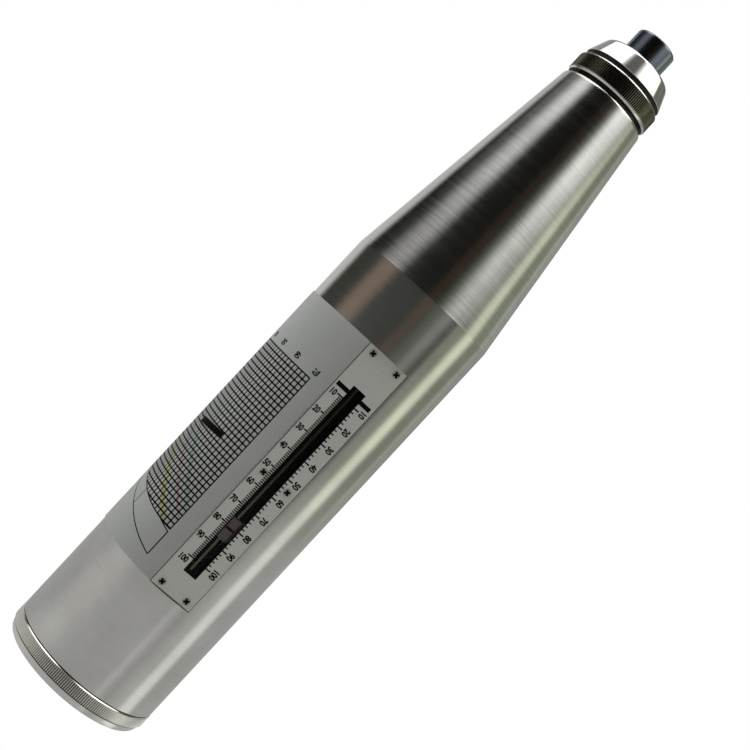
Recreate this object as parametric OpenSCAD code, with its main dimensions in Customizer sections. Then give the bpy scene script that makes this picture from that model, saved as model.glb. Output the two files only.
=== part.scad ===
// Concrete test hammer: a spring hammer that is pressed on a wall and shows its rebound on a scale.
// The axis is Z. The rear face lies at zero and the plunger points up. The scale faces -Y.
// It is drawn with the plunger pushed in and the hammer mass hooked back, ready to be let go.
// All lengths are millimetres.

/* [Barrel] */
// Outside diameter of the straight barrel
barrel_d = 55; // [53:0.5:57]
// Length of the straight barrel, from the rear cover to the shoulder
barrel_len = 160.8; // [158:0.1:165]
// Diameter of the bore that the guide disk runs in
bore_d = 47; // [46:0.1:48]
// Drop of the outside at the shoulder
shoulder_drop = 0.2; // [0.1:0.1:0.6]

/* [Nose cone] */
// Length of the cone, from the shoulder to the nose
cone_len = 86; // [82:0.1:90]
// Diameter at the front end of the cone
nose_d = 33.1; // [32:0.1:34]
// Length of the chamfer on the nose edge
nose_edge_len = 0.8; // [0.4:0.1:1.2]
// Depth of the chamfer on the nose edge
nose_edge = 0.45; // [0.2:0.05:0.8]
// Place of the thread under the front cap, as a share of the way from the sleeve to the knurl
spigot_share = 0.56; // [0.5:0.01:0.6]
// Length of the spigot
spigot_len = 6.7; // [6:0.1:7.4]

/* [Rear cover] */
// Length of the knurled rim
cover_len = 7.5; // [7.2:0.1:8]
// Diameter over the knurl
cover_d = 55.2; // [54.6:0.1:57]
// Length of the rounded rear edge
cover_edge_len = 2.3; // [1.5:0.1:2.6]
// Depth of the rounded rear edge
cover_edge = 1.4; // [0.8:0.1:2.4]
// Start of the knurl
cover_knurl_from = 2.9; // [2.6:0.1:3.2]
// Length of the knurl
cover_knurl_len = 4.2; // [3.4:0.1:4.5]
// Number of teeth in the knurl
cover_teeth = 228; // [180:4:240]
// Depth of the thread that holds the cover in the barrel
cover_plug_len = 6; // [5:0.1:8]
// Thickness of the end wall
cover_wall = 5.5; // [5:0.1:6]
// Wall round the spring pocket
cover_plug_wall = 2.8; // [2:0.1:3.2]
// Diameter of the recess round the lock nut
nut_recess_d = 17; // [15:0.5:20]
// Depth of that recess
nut_recess_depth = 3.6; // [3.2:0.1:4.2]
// Diameter of the boss that the trip screw passes through
cover_boss_d = 14; // [11:0.5:17]
// Height of that boss above the end wall
cover_boss_h = 4.5; // [3:0.1:5.5]

/* [Trip screw] */
// Diameter of the trip screw
trip_d = 6; // [5:0.5:7]
// Diameter of its head
trip_head_d = 8.4; // [8:0.2:10]
// Height of its head
trip_head_h = 4; // [3:0.1:4.5]
// Depth of the end below the rear face
trip_inset = 0.9; // [0.6:0.1:1.4]
// Size of the lock nut across its corners
nut_d = 11.5; // [10.5:0.1:12.5]
// Thickness of the lock nut
nut_t = 2.8; // [2.2:0.1:3]
// Width of the driver slot
trip_slot_w = 1; // [0.6:0.1:1.4]
// Depth of the driver slot
trip_slot_depth = 1.2; // [0.8:0.1:1.6]

/* [Front cap] */
// Gap between the nose and the cap
cap_gap = 1.7; // [1.2:0.1:2.2]
// Length of the cap
cap_len = 16; // [15:0.1:17]
// Diameter over the knurl
cap_d = 32.8; // [32.2:0.1:33.6]
// Length of the smooth lip at each end of the knurl
cap_lip = 0.6; // [0.4:0.1:0.8]
// Length of the knurl
cap_knurl_len = 5.6; // [5.2:0.1:6]
// Number of teeth in the knurl
cap_teeth = 136; // [112:4:148]
// Length of the groove in front of the knurl
cap_groove_len = 1.5; // [1:0.1:1.8]
// Diameter of that groove
cap_groove_d = 30.4; // [30:0.1:31]
// Diameter at the foot of the dome
dome_d = 31.2; // [30.8:0.1:31.8]
// Diameter where the taper of the dome ends
dome_mid_d = 26.7; // [25.8:0.1:27.6]
// Radius of the rounded front edge
dome_round = 2.4; // [1.8:0.1:3.4]
// Thickness of the front wall
cap_wall = 2.6; // [2:0.1:3]

/* [Plunger] */
// Diameter of the plunger
plunger_d = 15; // [14:0.1:15.4]
// Length of the plunger
plunger_len = 114.5; // [112:0.1:117]
// Length that stands out of the cap when pushed in
plunger_out = 10.6; // [8:0.1:13]
// Radius of the rounded tip
tip_radius = 20; // [16:1:40]
// Bevel round the tip
tip_bevel = 0.6; // [0.3:0.1:1]
// Diameter of the collar at the rear end
collar_d = 20; // [18.6:0.1:20.2]
// Length of the collar
collar_len = 5; // [4:0.1:6]
// Depth of the hole for the guide bar
plunger_hole_depth = 58; // [54:0.1:62]

/* [Guide sleeve] */
// Outside diameter of the sleeve in the nose
sleeve_d = 22.8; // [22:0.1:23.2]
// Diameter of the spring cup behind it
cup_d = 28.8; // [28.4:0.1:29]
// Depth of the spring cup
cup_depth = 7.3; // [6:0.1:9]
// Wall of the spring cup
cup_wall = 1.2; // [1:0.1:1.3]
// Thickness of the flange between cup and sleeve
flange_t = 1.2; // [1:0.1:2]
// Length of the sleeve in front of the spigot
sleeve_front_len = 5; // [4.4:0.1:5.4]
// Width of the split ring
ring_w = 2.1; // [1.8:0.1:2.3]
// Depth of the groove that the split ring sits in
ring_groove = 1.5; // [1:0.1:2]
// Inset of the split ring from the thread of the cap
ring_inset = 0.6; // [0.3:0.1:1.2]
// Opening between the halves of the split ring
ring_split = 0.6; // [0.4:0.1:1]
// Thickness of the felt washer
felt_t = 3; // [2:0.1:3.2]

/* [Guide disk and bar] */
// Thickness of the guide disk
disk_t = 10; // [9:0.1:11]
// Diameter of the guide bar
bar_d = 8; // [7:0.1:8.4]
// Room in the plunger in front of the guide bar
retain_room = 23; // [20:0.1:26]
// Diameter of the hub behind the disk
hub_d = 18; // [16:0.1:18.2]
// Length of the hub behind the disk
hub_len = 6; // [5:0.1:6.6]
// Depth of the recess for the tail of the hammer mass
recess_depth = 6.7; // [6.4:0.1:7]
// Diameter of that recess
recess_d = 20.8; // [19:0.1:22]

/* [Hammer mass] */
// Diameter of the hammer mass
mass_d = 35; // [33:0.1:36]
// Travel from the hook to the plunger
stroke = 75; // [73:0.1:76]
// Gap between the body and the guide disk
mass_gap = 1; // [0.9:0.1:1.2]
// Diameter of the hook flange on the tail
hook_d = 17; // [16.4:0.1:17.6]
// Thickness of the hook flange
hook_t = 2.5; // [2:0.1:2.6]
// Diameter of the tail between flange and body
tail_d = 12.6; // [11:0.1:13]
// Depth of the groove that holds the impact spring
mass_groove_depth = 6; // [4:0.1:8]
// Chamfer on the edges of the body
mass_edge = 1; // [0.5:0.1:2]

/* [Pawl] */
// Distance of the pawl pin from the axis
pawl_x = 12.6; // [12.4:0.1:12.8]
// Distance of the pawl pin behind the disk
pawl_drop = 5; // [4.8:0.1:5.4]
// Width of the pawl
pawl_w = 5; // [4:0.1:5.4]
// Diameter of the pawl round its pin
pawl_boss_d = 6.4; // [6:0.1:6.6]
// Width of the arm
pawl_arm_w = 4; // [3:0.1:4.4]
// Thickness of the claw
claw_t = 3; // [2.6:0.1:3.1]
// Overlap of the claw on the hook flange
claw_bite = 1.7; // [1.2:0.1:1.8]
// Thickness of the tail that the trip screw meets
pawl_tail_t = 3; // [2.4:0.1:3.4]
// Reach of the tail past the axis
pawl_tail_past = 2.5; // [1.5:0.1:3.5]
// Distance of the tail behind the pin
pawl_tail_drop = 8.5; // [8:0.1:9]
// Diameter of the pawl pin
pawl_pin_d = 3; // [2.4:0.1:3.2]
// Thickness of each ear that holds the pin
ear_t = 2.6; // [2:0.1:3]

/* [Springs] */
// Room behind the guide disk for the pushed-in compression spring
spring_room = 24.6; // [23:0.1:27]
// Mean radius of the compression spring behind the disk
comp_r = 18; // [17.8:0.1:18.4]
// Wire of that spring
comp_wire = 1.6; // [1.2:0.1:1.8]
// Turns of that spring
comp_turns = 7; // [6:0.5:8]
// Mean radius of the impact spring
impact_r = 11.7; // [11.6:0.1:11.8]
// Wire of that spring
impact_wire = 2; // [1.6:0.1:2]
// Turns of that spring
impact_turns = 17; // [14:1:20]
// Mean radius of the retaining spring in the plunger
retain_r = 3; // [2.4:0.1:3.2]
// Wire of that spring
retain_wire = 0.9; // [0.6:0.1:1]
// Turns of that spring
retain_turns = 9; // [7:1:10]
// Mean radius of the pawl spring
pawl_spring_r = 2; // [1.6:0.1:2.4]
// Wire of that spring
pawl_spring_wire = 0.5; // [0.4:0.1:0.6]
// Turns of that spring
pawl_spring_turns = 3.5; // [2.5:0.5:3.5]
// Mean radius of the button spring
button_spring_r = 3; // [2.9:0.05:3.1]
// Wire of that spring
button_spring_wire = 0.5; // [0.4:0.05:0.6]
// Turns of that spring
button_spring_turns = 6; // [4:0.5:6.5]

/* [Scale plate] */
// Width of the scale plate
plate_w = 15.5; // [14.5:0.1:16.5]
// Length of the scale plate
plate_len = 99.7; // [98:0.1:102]
// Thickness of the scale plate
plate_t = 1; // [0.8:0.1:1.2]
// Distance from the end of the plate to the mark 100
plate_lead = 13.7; // [13:0.1:14.8]
// Distance from the rear of the hammer mass to the mark 100
index_lead = 18.4; // [17.5:0.1:19]
// Width of the slot in the plate
slot_w = 4.8; // [4:0.1:5]
// Length of slot behind the mark 100
slot_rear = 4.7; // [4.6:0.1:6]
// Length of slot left out in front of the mark 0
slot_short = 2.4; // [2:0.1:4]
// Distance between the two rows of screws
screw_row = 10; // [9.8:0.1:10.6]
// Distance of the end screws from the ends of the plate
screw_end = 2.1; // [2.1:0.1:3]
// Distance of the middle screws behind the middle of the plate
screw_mid_back = 1.9; // [0:0.1:4]
// Diameter of the screw heads
screw_head_d = 2.5; // [2.2:0.1:2.8]
// Height of the screw heads
screw_head_h = 0.5; // [0.3:0.05:0.8]
// Diameter of the screws
screw_d = 1.6; // [1.2:0.1:2]
// Length of the end screws
screw_end_len = 5; // [4.4:0.1:5.6]
// Length of the middle screws
screw_mid_len = 2.8; // [2.2:0.1:3]

/* [Window] */
// Thickness of the window
window_t = 0.6; // [0.5:0.1:1.2]
// Width of the window
window_w = 7; // [6.8:0.1:7.4]
// Overlap of the window past the ends of its slot
window_lap = 2; // [1:0.1:2.4]
// Width of the slot in the barrel
wall_slot_w = 5.4; // [5:0.1:5.6]

/* [Rider] */
// Reading that the rider shows
rider_reading = 82; // [0:0.1:100]
// Diameter of the rod that it slides on
rod_d = 3; // [2.4:0.1:3.2]
// Depth of the rod axis inside the bore
rod_inset = 2; // [1.9:0.1:2.2]
// Length of the rider
rider_len = 8; // [7:0.1:9]
// Width of the rider in the bore
rider_w = 7.8; // [7:0.1:8.2]
// Width of the index block in the slot
index_w = 3.2; // [2.8:0.1:4.2]
// Wall of the rider under the rod
rider_wall = 1.2; // [0.8:0.1:1.3]
// Thickness of the leaf under the rider
leaf_t = 0.4; // [0.3:0.05:0.5]
// Width of the leaf
leaf_w = 5; // [4:0.1:6]
// Reach of the leaf behind the index
leaf_rear = 8; // [6:0.1:9]
// Reach of the leaf in front of the index
leaf_front = 5; // [4.4:0.1:5.6]
// Thickness of the brackets that hold the rod
bracket_t = 4; // [3:0.1:4.4]
// Width of those brackets
bracket_w = 13; // [12.6:0.1:14]

/* [Chart label] */
// Thickness of the label
label_t = 0.25; // [0.15:0.05:0.4]
// Angle that the label covers round the barrel
label_angle = 135; // [120:1:145]

/* [Button] */
// Diameter of the button
button_d = 8; // [7.8:0.1:8.6]
// Travel of the button
button_travel = 4; // [3.6:0.1:4.2]
// Height of the button above its bush when pressed
button_left = 0.5; // [0.3:0.1:1.5]
// Height of the rounded top of the button
button_dome = 1.8; // [1:0.1:2.2]
// Diameter of the button stem
stem_d = 4; // [3.6:0.1:4.2]
// Diameter of the bush round the button
bush_d = 14; // [13:0.5:15]
// Height of the bush above the barrel
bush_h = 5; // [4.6:0.1:6]
// Diameter of the bush in the wall
bush_neck_d = 11; // [10:0.1:11.4]
// Thickness of the floor of the bush
bush_floor = 1.9; // [1.6:0.1:2]
// Length of the button that the bush guides at rest
button_guide = 1.6; // [1.2:0.1:2]
// Depth of the spring pocket in the button
button_pocket = 4; // [3.6:0.1:4.4]
// Diameter of the clip on the stem
clip_d = 6; // [5.6:0.1:6.4]
// Thickness of the clip
clip_t = 0.8; // [0.6:0.05:0.9]

/* [Clearances] */
// Gap between a shaft and the hole that it runs in
run_gap = 0.06; // [0.03:0.01:0.09]
// Gap between the guide disk and the bore
disk_gap = 0.1; // [0.06:0.01:0.1]
// Gap between pieces that are fixed together
fit_gap = 0.05; // [0.02:0.01:0.08]
// Gap between pieces that move past each other
free_gap = 0.3; // [0.25:0.05:0.4]
// Wider gap round the pawl and the rider
wide_gap = 0.5; // [0.4:0.05:0.6]
// Least gap between the turns of a spring
coil_gap = 0.46; // [0.42:0.02:0.6]

/* [Hidden] */
$fn = 96;

// Overrun of a cut past the face that it opens
over = 1;
// Share of the scale below the reading
reading_share = rider_reading / 100;

// Radii
barrel_r = barrel_d / 2;
bore_r = bore_d / 2;
nose_r = nose_d / 2;
cap_r = cap_d / 2;
plunger_r = plunger_d / 2;
collar_r = collar_d / 2;
bar_r = bar_d / 2;
mass_r = mass_d / 2;
sleeve_r = sleeve_d / 2;
spigot_r = sleeve_r + (cap_r - sleeve_r) * spigot_share;
ring_r = spigot_r - ring_inset;
rod_r = rod_d / 2;
screw_r = screw_d / 2;
stem_r = stem_d / 2;
button_r = button_d / 2;
bush_neck_r = bush_neck_d / 2;
disk_r = bore_r - disk_gap;
hook_r = hook_d / 2;
pin_r = pawl_pin_d / 2;
boss_r = pawl_boss_d / 2;
trip_r = trip_d / 2;
cover_r = cover_d / 2;

// Places along the axis, from the rear face
shoulder_z = cover_len + barrel_len;
nose_z = shoulder_z + cone_len;
spigot_z = nose_z + spigot_len;
cap_z = nose_z + cap_gap;
cap_front_z = cap_z + cap_len;
tip_z = cap_front_z + plunger_out;
plunger_z = tip_z - plunger_len;
disk_z = cover_wall + spring_room;
disk_front_z = disk_z + disk_t;
mass_z = disk_front_z + mass_gap;
mass_front_z = plunger_z - stroke - free_gap;
hub_z = disk_z - hub_len;
recess_z = disk_front_z - recess_depth;
hook_z = recess_z + free_gap;
stop_z = plunger_z + collar_len + stroke + free_gap;
cup_z = stop_z - cup_depth;
flange_z = stop_z + flange_t;
sleeve_front_z = spigot_z + sleeve_front_len;
ring_z = spigot_z + fit_gap;
hole_z = plunger_z + plunger_hole_depth;
bar_z = hub_z;
bar_front_z = hole_z - retain_room;
scale_full_z = mass_z + index_lead;
scale_zero_z = scale_full_z + stroke;
index_z = scale_zero_z - stroke * reading_share;
plate_z = scale_full_z - plate_lead;
plate_front_z = plate_z + plate_len;
slot_z = scale_full_z - slot_rear;
slot_front_z = scale_zero_z - slot_short;

// Heights over the axis on the scale side
plate_top = sqrt(barrel_r * barrel_r - plate_w * plate_w / 4);
plate_floor = plate_top - plate_t;
window_floor = plate_floor - window_t;
index_top = window_floor - free_gap;
rod_y = bore_r - rod_inset;
rider_top = sqrt(pow(bore_r - free_gap, 2) - rider_w * rider_w / 4);
rider_floor = rod_y - rod_r - rider_wall;
leaf_floor = rider_floor - leaf_t;
notch_floor = leaf_floor - wide_gap;
bracket_floor = rider_floor;

// Slot in the barrel wall for the index block over its whole travel
wall_slot_z = scale_full_z - rider_len / 2 - free_gap;
wall_slot_front_z = scale_zero_z + rider_len / 2 + free_gap;
screw_end_zs = [plate_z + screw_end, plate_front_z - screw_end];
screw_mid_z = (plate_z + plate_front_z) / 2 - screw_mid_back;

// Pawl
pawl_z = disk_z - pawl_drop;
claw_z = hook_z + hook_t + free_gap;
claw_tip_x = hook_r - claw_bite;
tail_front_z = pawl_z - pawl_tail_drop + pawl_tail_t;
tail_z = pawl_z - pawl_tail_drop;
pawl_swing = 12;
arm_half = pawl_arm_w / 2;
pawl_slot_w = pawl_w + 2 * free_gap;
pawl_slot_x = pawl_x + arm_half + (claw_z + claw_t - pawl_z) * sin(pawl_swing) + free_gap;
ear_x = pawl_x + boss_r - wide_gap;
ear_z = pawl_z - boss_r - free_gap;
pawl_spring_share = 0.3;
pawl_spring_x = pawl_x * pawl_spring_share;

// Button, measured from the axis
bush_neck_share = 0.55;
spot_y = sqrt(barrel_r * barrel_r - pow(bush_d / 2 + free_gap, 2)) - free_gap;
bush_top = barrel_r + bush_h;
bush_bottom = spot_y - (spot_y - bore_r) * bush_neck_share;
bush_floor_y = bush_bottom + bush_floor;
head_y = bush_top - button_guide;
head_top = bush_top + button_left + button_travel;
stem_y = disk_r + free_gap;
clip_y = bush_bottom - free_gap - clip_t;
button_z = disk_front_z + clip_d / 2 + free_gap;

// Knurl: depth of the teeth as a share of their pitch
tooth_share = 0.42;
cap_tooth = 2 * PI * cap_r / cap_teeth * tooth_share;
cover_tooth = 2 * PI * cover_r / cover_teeth * tooth_share;

// Springs: steps round a turn, sides of the wire and closed turns at each end
turn_steps = 12;
wire_sides = 6;
closed_turns = 1;
// Radius that keeps the many-sided turn about its mean circle
turn_swell = 2 / (1 + cos(180 / turn_steps));

// Height of the wire at a number of turns from the start
function coil_rise(u, turns, pitch, len) =
    let (steep = (len - 2 * closed_turns * pitch) / (turns - 2 * closed_turns))
    u < closed_turns ? u * pitch
    : u > turns - closed_turns ? len - (turns - u) * pitch
    : closed_turns * pitch + (u - closed_turns) * steep;

// Points on the middle line of a spring
function coil_line(r, wire, turns, len) =
    [for (i = [0 : turns * turn_steps])
        let (a = 360 * i / turn_steps)
        [r * turn_swell * cos(a), r * turn_swell * sin(a),
         wire / 2 + coil_rise(i / turn_steps, turns, wire + coil_gap, len - wire)]];

// Least gap between one turn and the next
function coil_least_gap(line, wire) =
    min([for (i = [0 : len(line) - 1]) for (j = [i + turn_steps / 2 : len(line) - 1])
        norm(line[i] - line[j]) - wire]);

// Ring of points round the wire, square to the middle line
function wire_ring(line, wire, i) =
    let (a = 360 * i / turn_steps,
         ahead = line[min(i + 1, len(line) - 1)] - line[max(i - 1, 0)],
         side = [cos(a), sin(a), 0],
         up = cross(side, ahead) / norm(cross(side, ahead)))
    [for (k = [0 : wire_sides - 1])
        line[i] + wire / 2 * (side * cos(360 * k / wire_sides) + up * sin(360 * k / wire_sides))];

// Round wire wound into a spring that stands on the plane z = 0
module coil_spring(r, wire, turns, len, name) {
    line = coil_line(r, wire, turns, len);
    echo(str(name, " least gap between turns: ", coil_least_gap(line, wire)));
    rings = [for (i = [0 : len(line) - 1]) each wire_ring(line, wire, i)];
    last = (len(line) - 1) * wire_sides;
    sides = [for (i = [0 : len(line) - 2]) for (k = [0 : wire_sides - 1])
        let (a = i * wire_sides + k,
             b = i * wire_sides + (k + 1) % wire_sides,
             c = b + wire_sides,
             d = a + wire_sides)
        each [[a, b, c], [a, c, d]]];
    caps = [for (k = [1 : wire_sides - 2]) each [[0, k + 1, k], [last, last + k, last + k + 1]]];
    polyhedron(points = rings, faces = concat(sides, caps), convexity = 10);
}

// Ring with pointed teeth along its axis
module knurl(r, tooth, teeth, inner_r, len) {
    linear_extrude(height = len, convexity = 10) difference() {
        polygon([for (i = [0 : 2 * teeth - 1])
            let (a = 180 * i / teeth, tip = i % 2 == 0 ? r : r - tooth)
            [tip * cos(a), tip * sin(a)]]);
        circle(r = inner_r);
    }
}

// Cylinder that runs out along -Y from the axis, between two heights
module post_out(r, from, to) {
    translate([0, -from, 0]) rotate([90, 0, 0]) cylinder(r = r, h = to - from);
}

// Block across X that lies between two heights on the scale side
module scale_block(w, low, high, z_from, z_to) {
    translate([-w / 2, -high, z_from]) cube([w, high - low, z_to - z_from]);
}

// Housing with barrel, nose cone and spigot

module housing_shell() {
    seat_r = cup_d / 2 + free_gap;
    cone_from_z = shoulder_z - shoulder_drop;
    rotate_extrude() polygon([
        [bore_r, cover_len],
        [barrel_r, cover_len],
        [barrel_r, cone_from_z],
        [barrel_r - shoulder_drop, shoulder_z],
        [nose_r, nose_z - nose_edge_len],
        [nose_r - nose_edge, nose_z],
        [spigot_r, nose_z],
        [spigot_r, spigot_z],
        [sleeve_r + fit_gap, spigot_z],
        [sleeve_r + fit_gap, flange_z],
        [seat_r, flange_z],
        [seat_r, cup_z],
        [bore_r, cone_from_z]]);
}

module housing() {
    color("silver") difference() {
        housing_shell();
        scale_block(plate_w + 2 * free_gap, plate_floor, barrel_r + over, plate_z - free_gap,
            plate_front_z + free_gap);
        scale_block(window_w + 2 * fit_gap, window_floor, barrel_r, wall_slot_z - window_lap - fit_gap,
            wall_slot_front_z + window_lap + fit_gap);
        scale_block(wall_slot_w, bore_r - over, barrel_r, wall_slot_z, wall_slot_front_z);
        for (x = [-screw_row / 2, screw_row / 2]) {
            for (z = screw_end_zs) translate([x, 0, z]) post_out(screw_r + fit_gap, rod_y, barrel_r);
            translate([x, 0, screw_mid_z]) post_out(screw_r + fit_gap, plate_top - screw_mid_len, barrel_r);
        }
        translate([0, 0, button_z]) rotate([0, 0, 180]) {
            post_out(bush_neck_r + fit_gap, bore_r - over, barrel_r);
            post_out(bush_d / 2 + free_gap, spot_y, barrel_r + over);
        }
    }
}

// Rear cover, trip screw and lock nut

module rear_cover() {
    plug_r = bore_r - fit_gap;
    pocket_r = plug_r - cover_plug_wall;
    root_r = cover_r - 2 * cover_tooth;
    boss_z = cover_wall + cover_boss_h;
    edge_steps = 5;
    color("gainsboro") {
        rotate_extrude() polygon(concat(
            [[nut_recess_d / 2, 0]],
            [for (i = [0 : edge_steps])
                let (a = 90 * i / edge_steps)
                [root_r - cover_edge * (1 - sin(a)), cover_edge_len * (1 - cos(a))]],
            [[root_r, cover_len],
             [plug_r, cover_len],
             [plug_r, cover_len + cover_plug_len],
             [pocket_r, cover_len + cover_plug_len],
             [pocket_r, cover_wall],
             [cover_boss_d / 2, cover_wall],
             [cover_boss_d / 2, boss_z],
             [trip_r + fit_gap, boss_z],
             [trip_r + fit_gap, nut_recess_depth],
             [nut_recess_d / 2, nut_recess_depth]]));
        translate([0, 0, cover_knurl_from])
            knurl(cover_r, cover_tooth, cover_teeth, bore_r, cover_knurl_len);
    }
}

module trip_screw() {
    head_z = tail_z - free_gap;
    color("dimgray") difference() {
        union() {
            translate([0, 0, trip_inset]) cylinder(r = trip_r, h = head_z - trip_inset);
            translate([0, 0, head_z - trip_head_h]) cylinder(d = trip_head_d, h = trip_head_h);
        }
        translate([-trip_r, -trip_slot_w / 2, 0]) cube([trip_d, trip_slot_w, trip_inset + trip_slot_depth]);
    }
}

module lock_nut() {
    color("darkgray") translate([0, 0, nut_recess_depth - nut_t]) difference() {
        cylinder(d = nut_d, h = nut_t, $fn = 6);
        translate([0, 0, -over]) cylinder(r = trip_r + fit_gap, h = nut_t + 2 * over);
    }
}

// Front cap, split ring, felt washer and guide sleeve

module front_cap() {
    lip_r = cap_r - cap_tooth / 2;
    root_r = cap_r - 2 * cap_tooth;
    knurl_z = cap_z + cap_lip;
    groove_z = knurl_z + cap_knurl_len + cap_lip;
    dome_z = groove_z + cap_groove_len;
    thread_r = spigot_r + fit_gap;
    step_z = ring_z + ring_w + fit_gap;
    pocket_z = cap_front_z - cap_wall;
    round_z = cap_front_z - dome_round;
    round_r = dome_mid_d / 2 - dome_round;
    round_steps = 7;
    // The round starts where it meets the taper of the dome
    taper_angle = atan((dome_d - dome_mid_d) / 2 / (round_z - dome_z));
    color("lightgray") {
        rotate_extrude() polygon(concat(
            [[thread_r, cap_z],
             [lip_r - cap_lip, cap_z],
             [lip_r, knurl_z - cap_lip / 2],
             [lip_r, knurl_z],
             [root_r, knurl_z],
             [root_r, knurl_z + cap_knurl_len],
             [lip_r, knurl_z + cap_knurl_len],
             [lip_r, groove_z - cap_lip / 2],
             [lip_r - cap_lip / 2, groove_z],
             [cap_groove_d / 2, groove_z],
             [cap_groove_d / 2, dome_z],
             [dome_d / 2, dome_z]],
            [for (i = [0 : round_steps])
                let (a = taper_angle + (90 - taper_angle) * i / round_steps)
                [round_r + dome_round * cos(a), round_z + dome_round * sin(a)]],
            [[plunger_r + wide_gap, cap_front_z],
             [plunger_r + wide_gap, pocket_z],
             [sleeve_r + free_gap, pocket_z],
             [sleeve_r + free_gap, step_z],
             [thread_r, step_z]]));
        translate([0, 0, knurl_z]) knurl(cap_r, cap_tooth, cap_teeth, spigot_r + wide_gap, cap_knurl_len);
    }
}

module split_ring() {
    half_angle = 180 - 2 * asin(ring_split / (2 * ring_r));
    color("darkgray") for (turn = [0, 180])
        rotate([0, 0, turn + (180 - half_angle) / 2]) rotate_extrude(angle = half_angle)
            translate([sleeve_r - ring_groove + fit_gap, ring_z])
                square([ring_r - sleeve_r + ring_groove - fit_gap, ring_w]);
}

module felt_washer() {
    pocket_z = cap_front_z - cap_wall;
    color("dimgray") translate([0, 0, pocket_z - felt_t]) difference() {
        cylinder(r = sleeve_r, h = felt_t);
        translate([0, 0, -over]) cylinder(r = plunger_r + run_gap, h = felt_t + 2 * over);
    }
}

module guide_sleeve() {
    cup_r = cup_d / 2;
    inner_r = plunger_r + run_gap;
    color("slategray") rotate_extrude() polygon([
        [inner_r, stop_z],
        [cup_r - cup_wall, stop_z],
        [cup_r - cup_wall, cup_z],
        [cup_r, cup_z],
        [cup_r, flange_z],
        [sleeve_r, flange_z],
        [sleeve_r, spigot_z],
        [sleeve_r - ring_groove, spigot_z],
        [sleeve_r - ring_groove, ring_z + ring_w + fit_gap],
        [sleeve_r, ring_z + ring_w + fit_gap],
        [sleeve_r, sleeve_front_z],
        [inner_r, sleeve_front_z]]);
}

// Plunger with its spring

module plunger() {
    color("midnightblue") intersection() {
        rotate_extrude() polygon([
            [bar_r + run_gap, plunger_z],
            [collar_r, plunger_z],
            [collar_r, plunger_z + collar_len],
            [plunger_r, plunger_z + collar_len],
            [plunger_r, tip_z - 2 * tip_bevel],
            [plunger_r - tip_bevel, tip_z],
            [0, tip_z],
            [0, hole_z],
            [bar_r + run_gap, hole_z]]);
        union() {
            translate([0, 0, tip_z - tip_radius]) sphere(r = tip_radius);
            translate([0, 0, plunger_z - over]) cylinder(r = barrel_r, h = tip_z - tip_radius - plunger_z + over);
        }
    }
}

module retaining_spring() {
    color("gray") translate([0, 0, bar_front_z + fit_gap])
        coil_spring(retain_r, retain_wire, retain_turns, hole_z - bar_front_z - 2 * fit_gap, "retaining spring");
}

// Guide bar, guide disk and pawl

module guide_bar() {
    color("silver") translate([0, 0, bar_z]) cylinder(r = bar_r, h = bar_front_z - bar_z);
}

module guide_disk() {
    ear_y = pawl_slot_w / 2;
    color("darkgray") difference() {
        union() {
            translate([0, 0, disk_z]) cylinder(r = disk_r, h = disk_t);
            translate([0, 0, hub_z]) cylinder(d = hub_d, h = hub_len + over);
            for (side = [-1, 1])
                translate([0, side > 0 ? ear_y : -ear_y - ear_t, ear_z])
                    cube([ear_x, ear_t, disk_z - ear_z + over]);
        }
        translate([0, 0, hub_z - over]) cylinder(r = bar_r + fit_gap, h = disk_t + hub_len);
        translate([0, 0, recess_z]) cylinder(d = recess_d, h = recess_depth + over);
        // Way for the pawl through the disk, clear of the hub
        translate([hub_d / 2, -ear_y, ear_z - over]) cube([pawl_slot_x - hub_d / 2, pawl_slot_w, disk_front_z]);
        // Room behind the hub for the tail of the pawl
        translate([-hub_d, -hub_d, ear_z - over]) cube([hub_d + hub_d / 2, 2 * hub_d, hub_z - ear_z + over]);
        // Notch that passes the rider, its rod and the brackets
        scale_block(bracket_w + 2 * wide_gap, notch_floor, barrel_r, hub_z, disk_front_z + over);
        translate([pawl_x, 0, pawl_z]) rotate([90, 0, 0])
            cylinder(r = pin_r + fit_gap, h = 2 * disk_r, center = true);
    }
}

module pawl() {
    inner_x = pawl_x - arm_half;
    outer_x = pawl_x + arm_half;
    claw_front_z = claw_z + claw_t;
    foot_x = pawl_x - boss_r;
    color("dimgray") rotate([90, 0, 0]) linear_extrude(height = pawl_w, center = true) difference() {
        union() {
            translate([pawl_x, pawl_z]) circle(r = boss_r);
            polygon([
                [inner_x, pawl_z],
                [outer_x, pawl_z],
                [outer_x, claw_front_z],
                [claw_tip_x, claw_front_z],
                [claw_tip_x, claw_z],
                [inner_x, claw_z]]);
            polygon([
                [-pawl_tail_past, tail_z],
                [pawl_x, tail_z],
                [pawl_x + boss_r, pawl_z],
                [foot_x, pawl_z],
                [foot_x - free_gap, tail_front_z],
                [-pawl_tail_past, tail_front_z]]);
        }
        translate([pawl_x, pawl_z]) circle(r = pin_r + run_gap);
    }
}

module pawl_pin() {
    color("silver") translate([pawl_x, 0, pawl_z]) rotate([90, 0, 0])
        cylinder(r = pin_r, h = pawl_slot_w + 2 * ear_t, center = true);
}

module pawl_spring() {
    color("gray") translate([pawl_spring_x, 0, tail_front_z + fit_gap])
        coil_spring(pawl_spring_r, pawl_spring_wire, pawl_spring_turns, hub_z - tail_front_z - 2 * fit_gap,
            "pawl spring");
}

// Hammer mass and the two large springs

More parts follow.
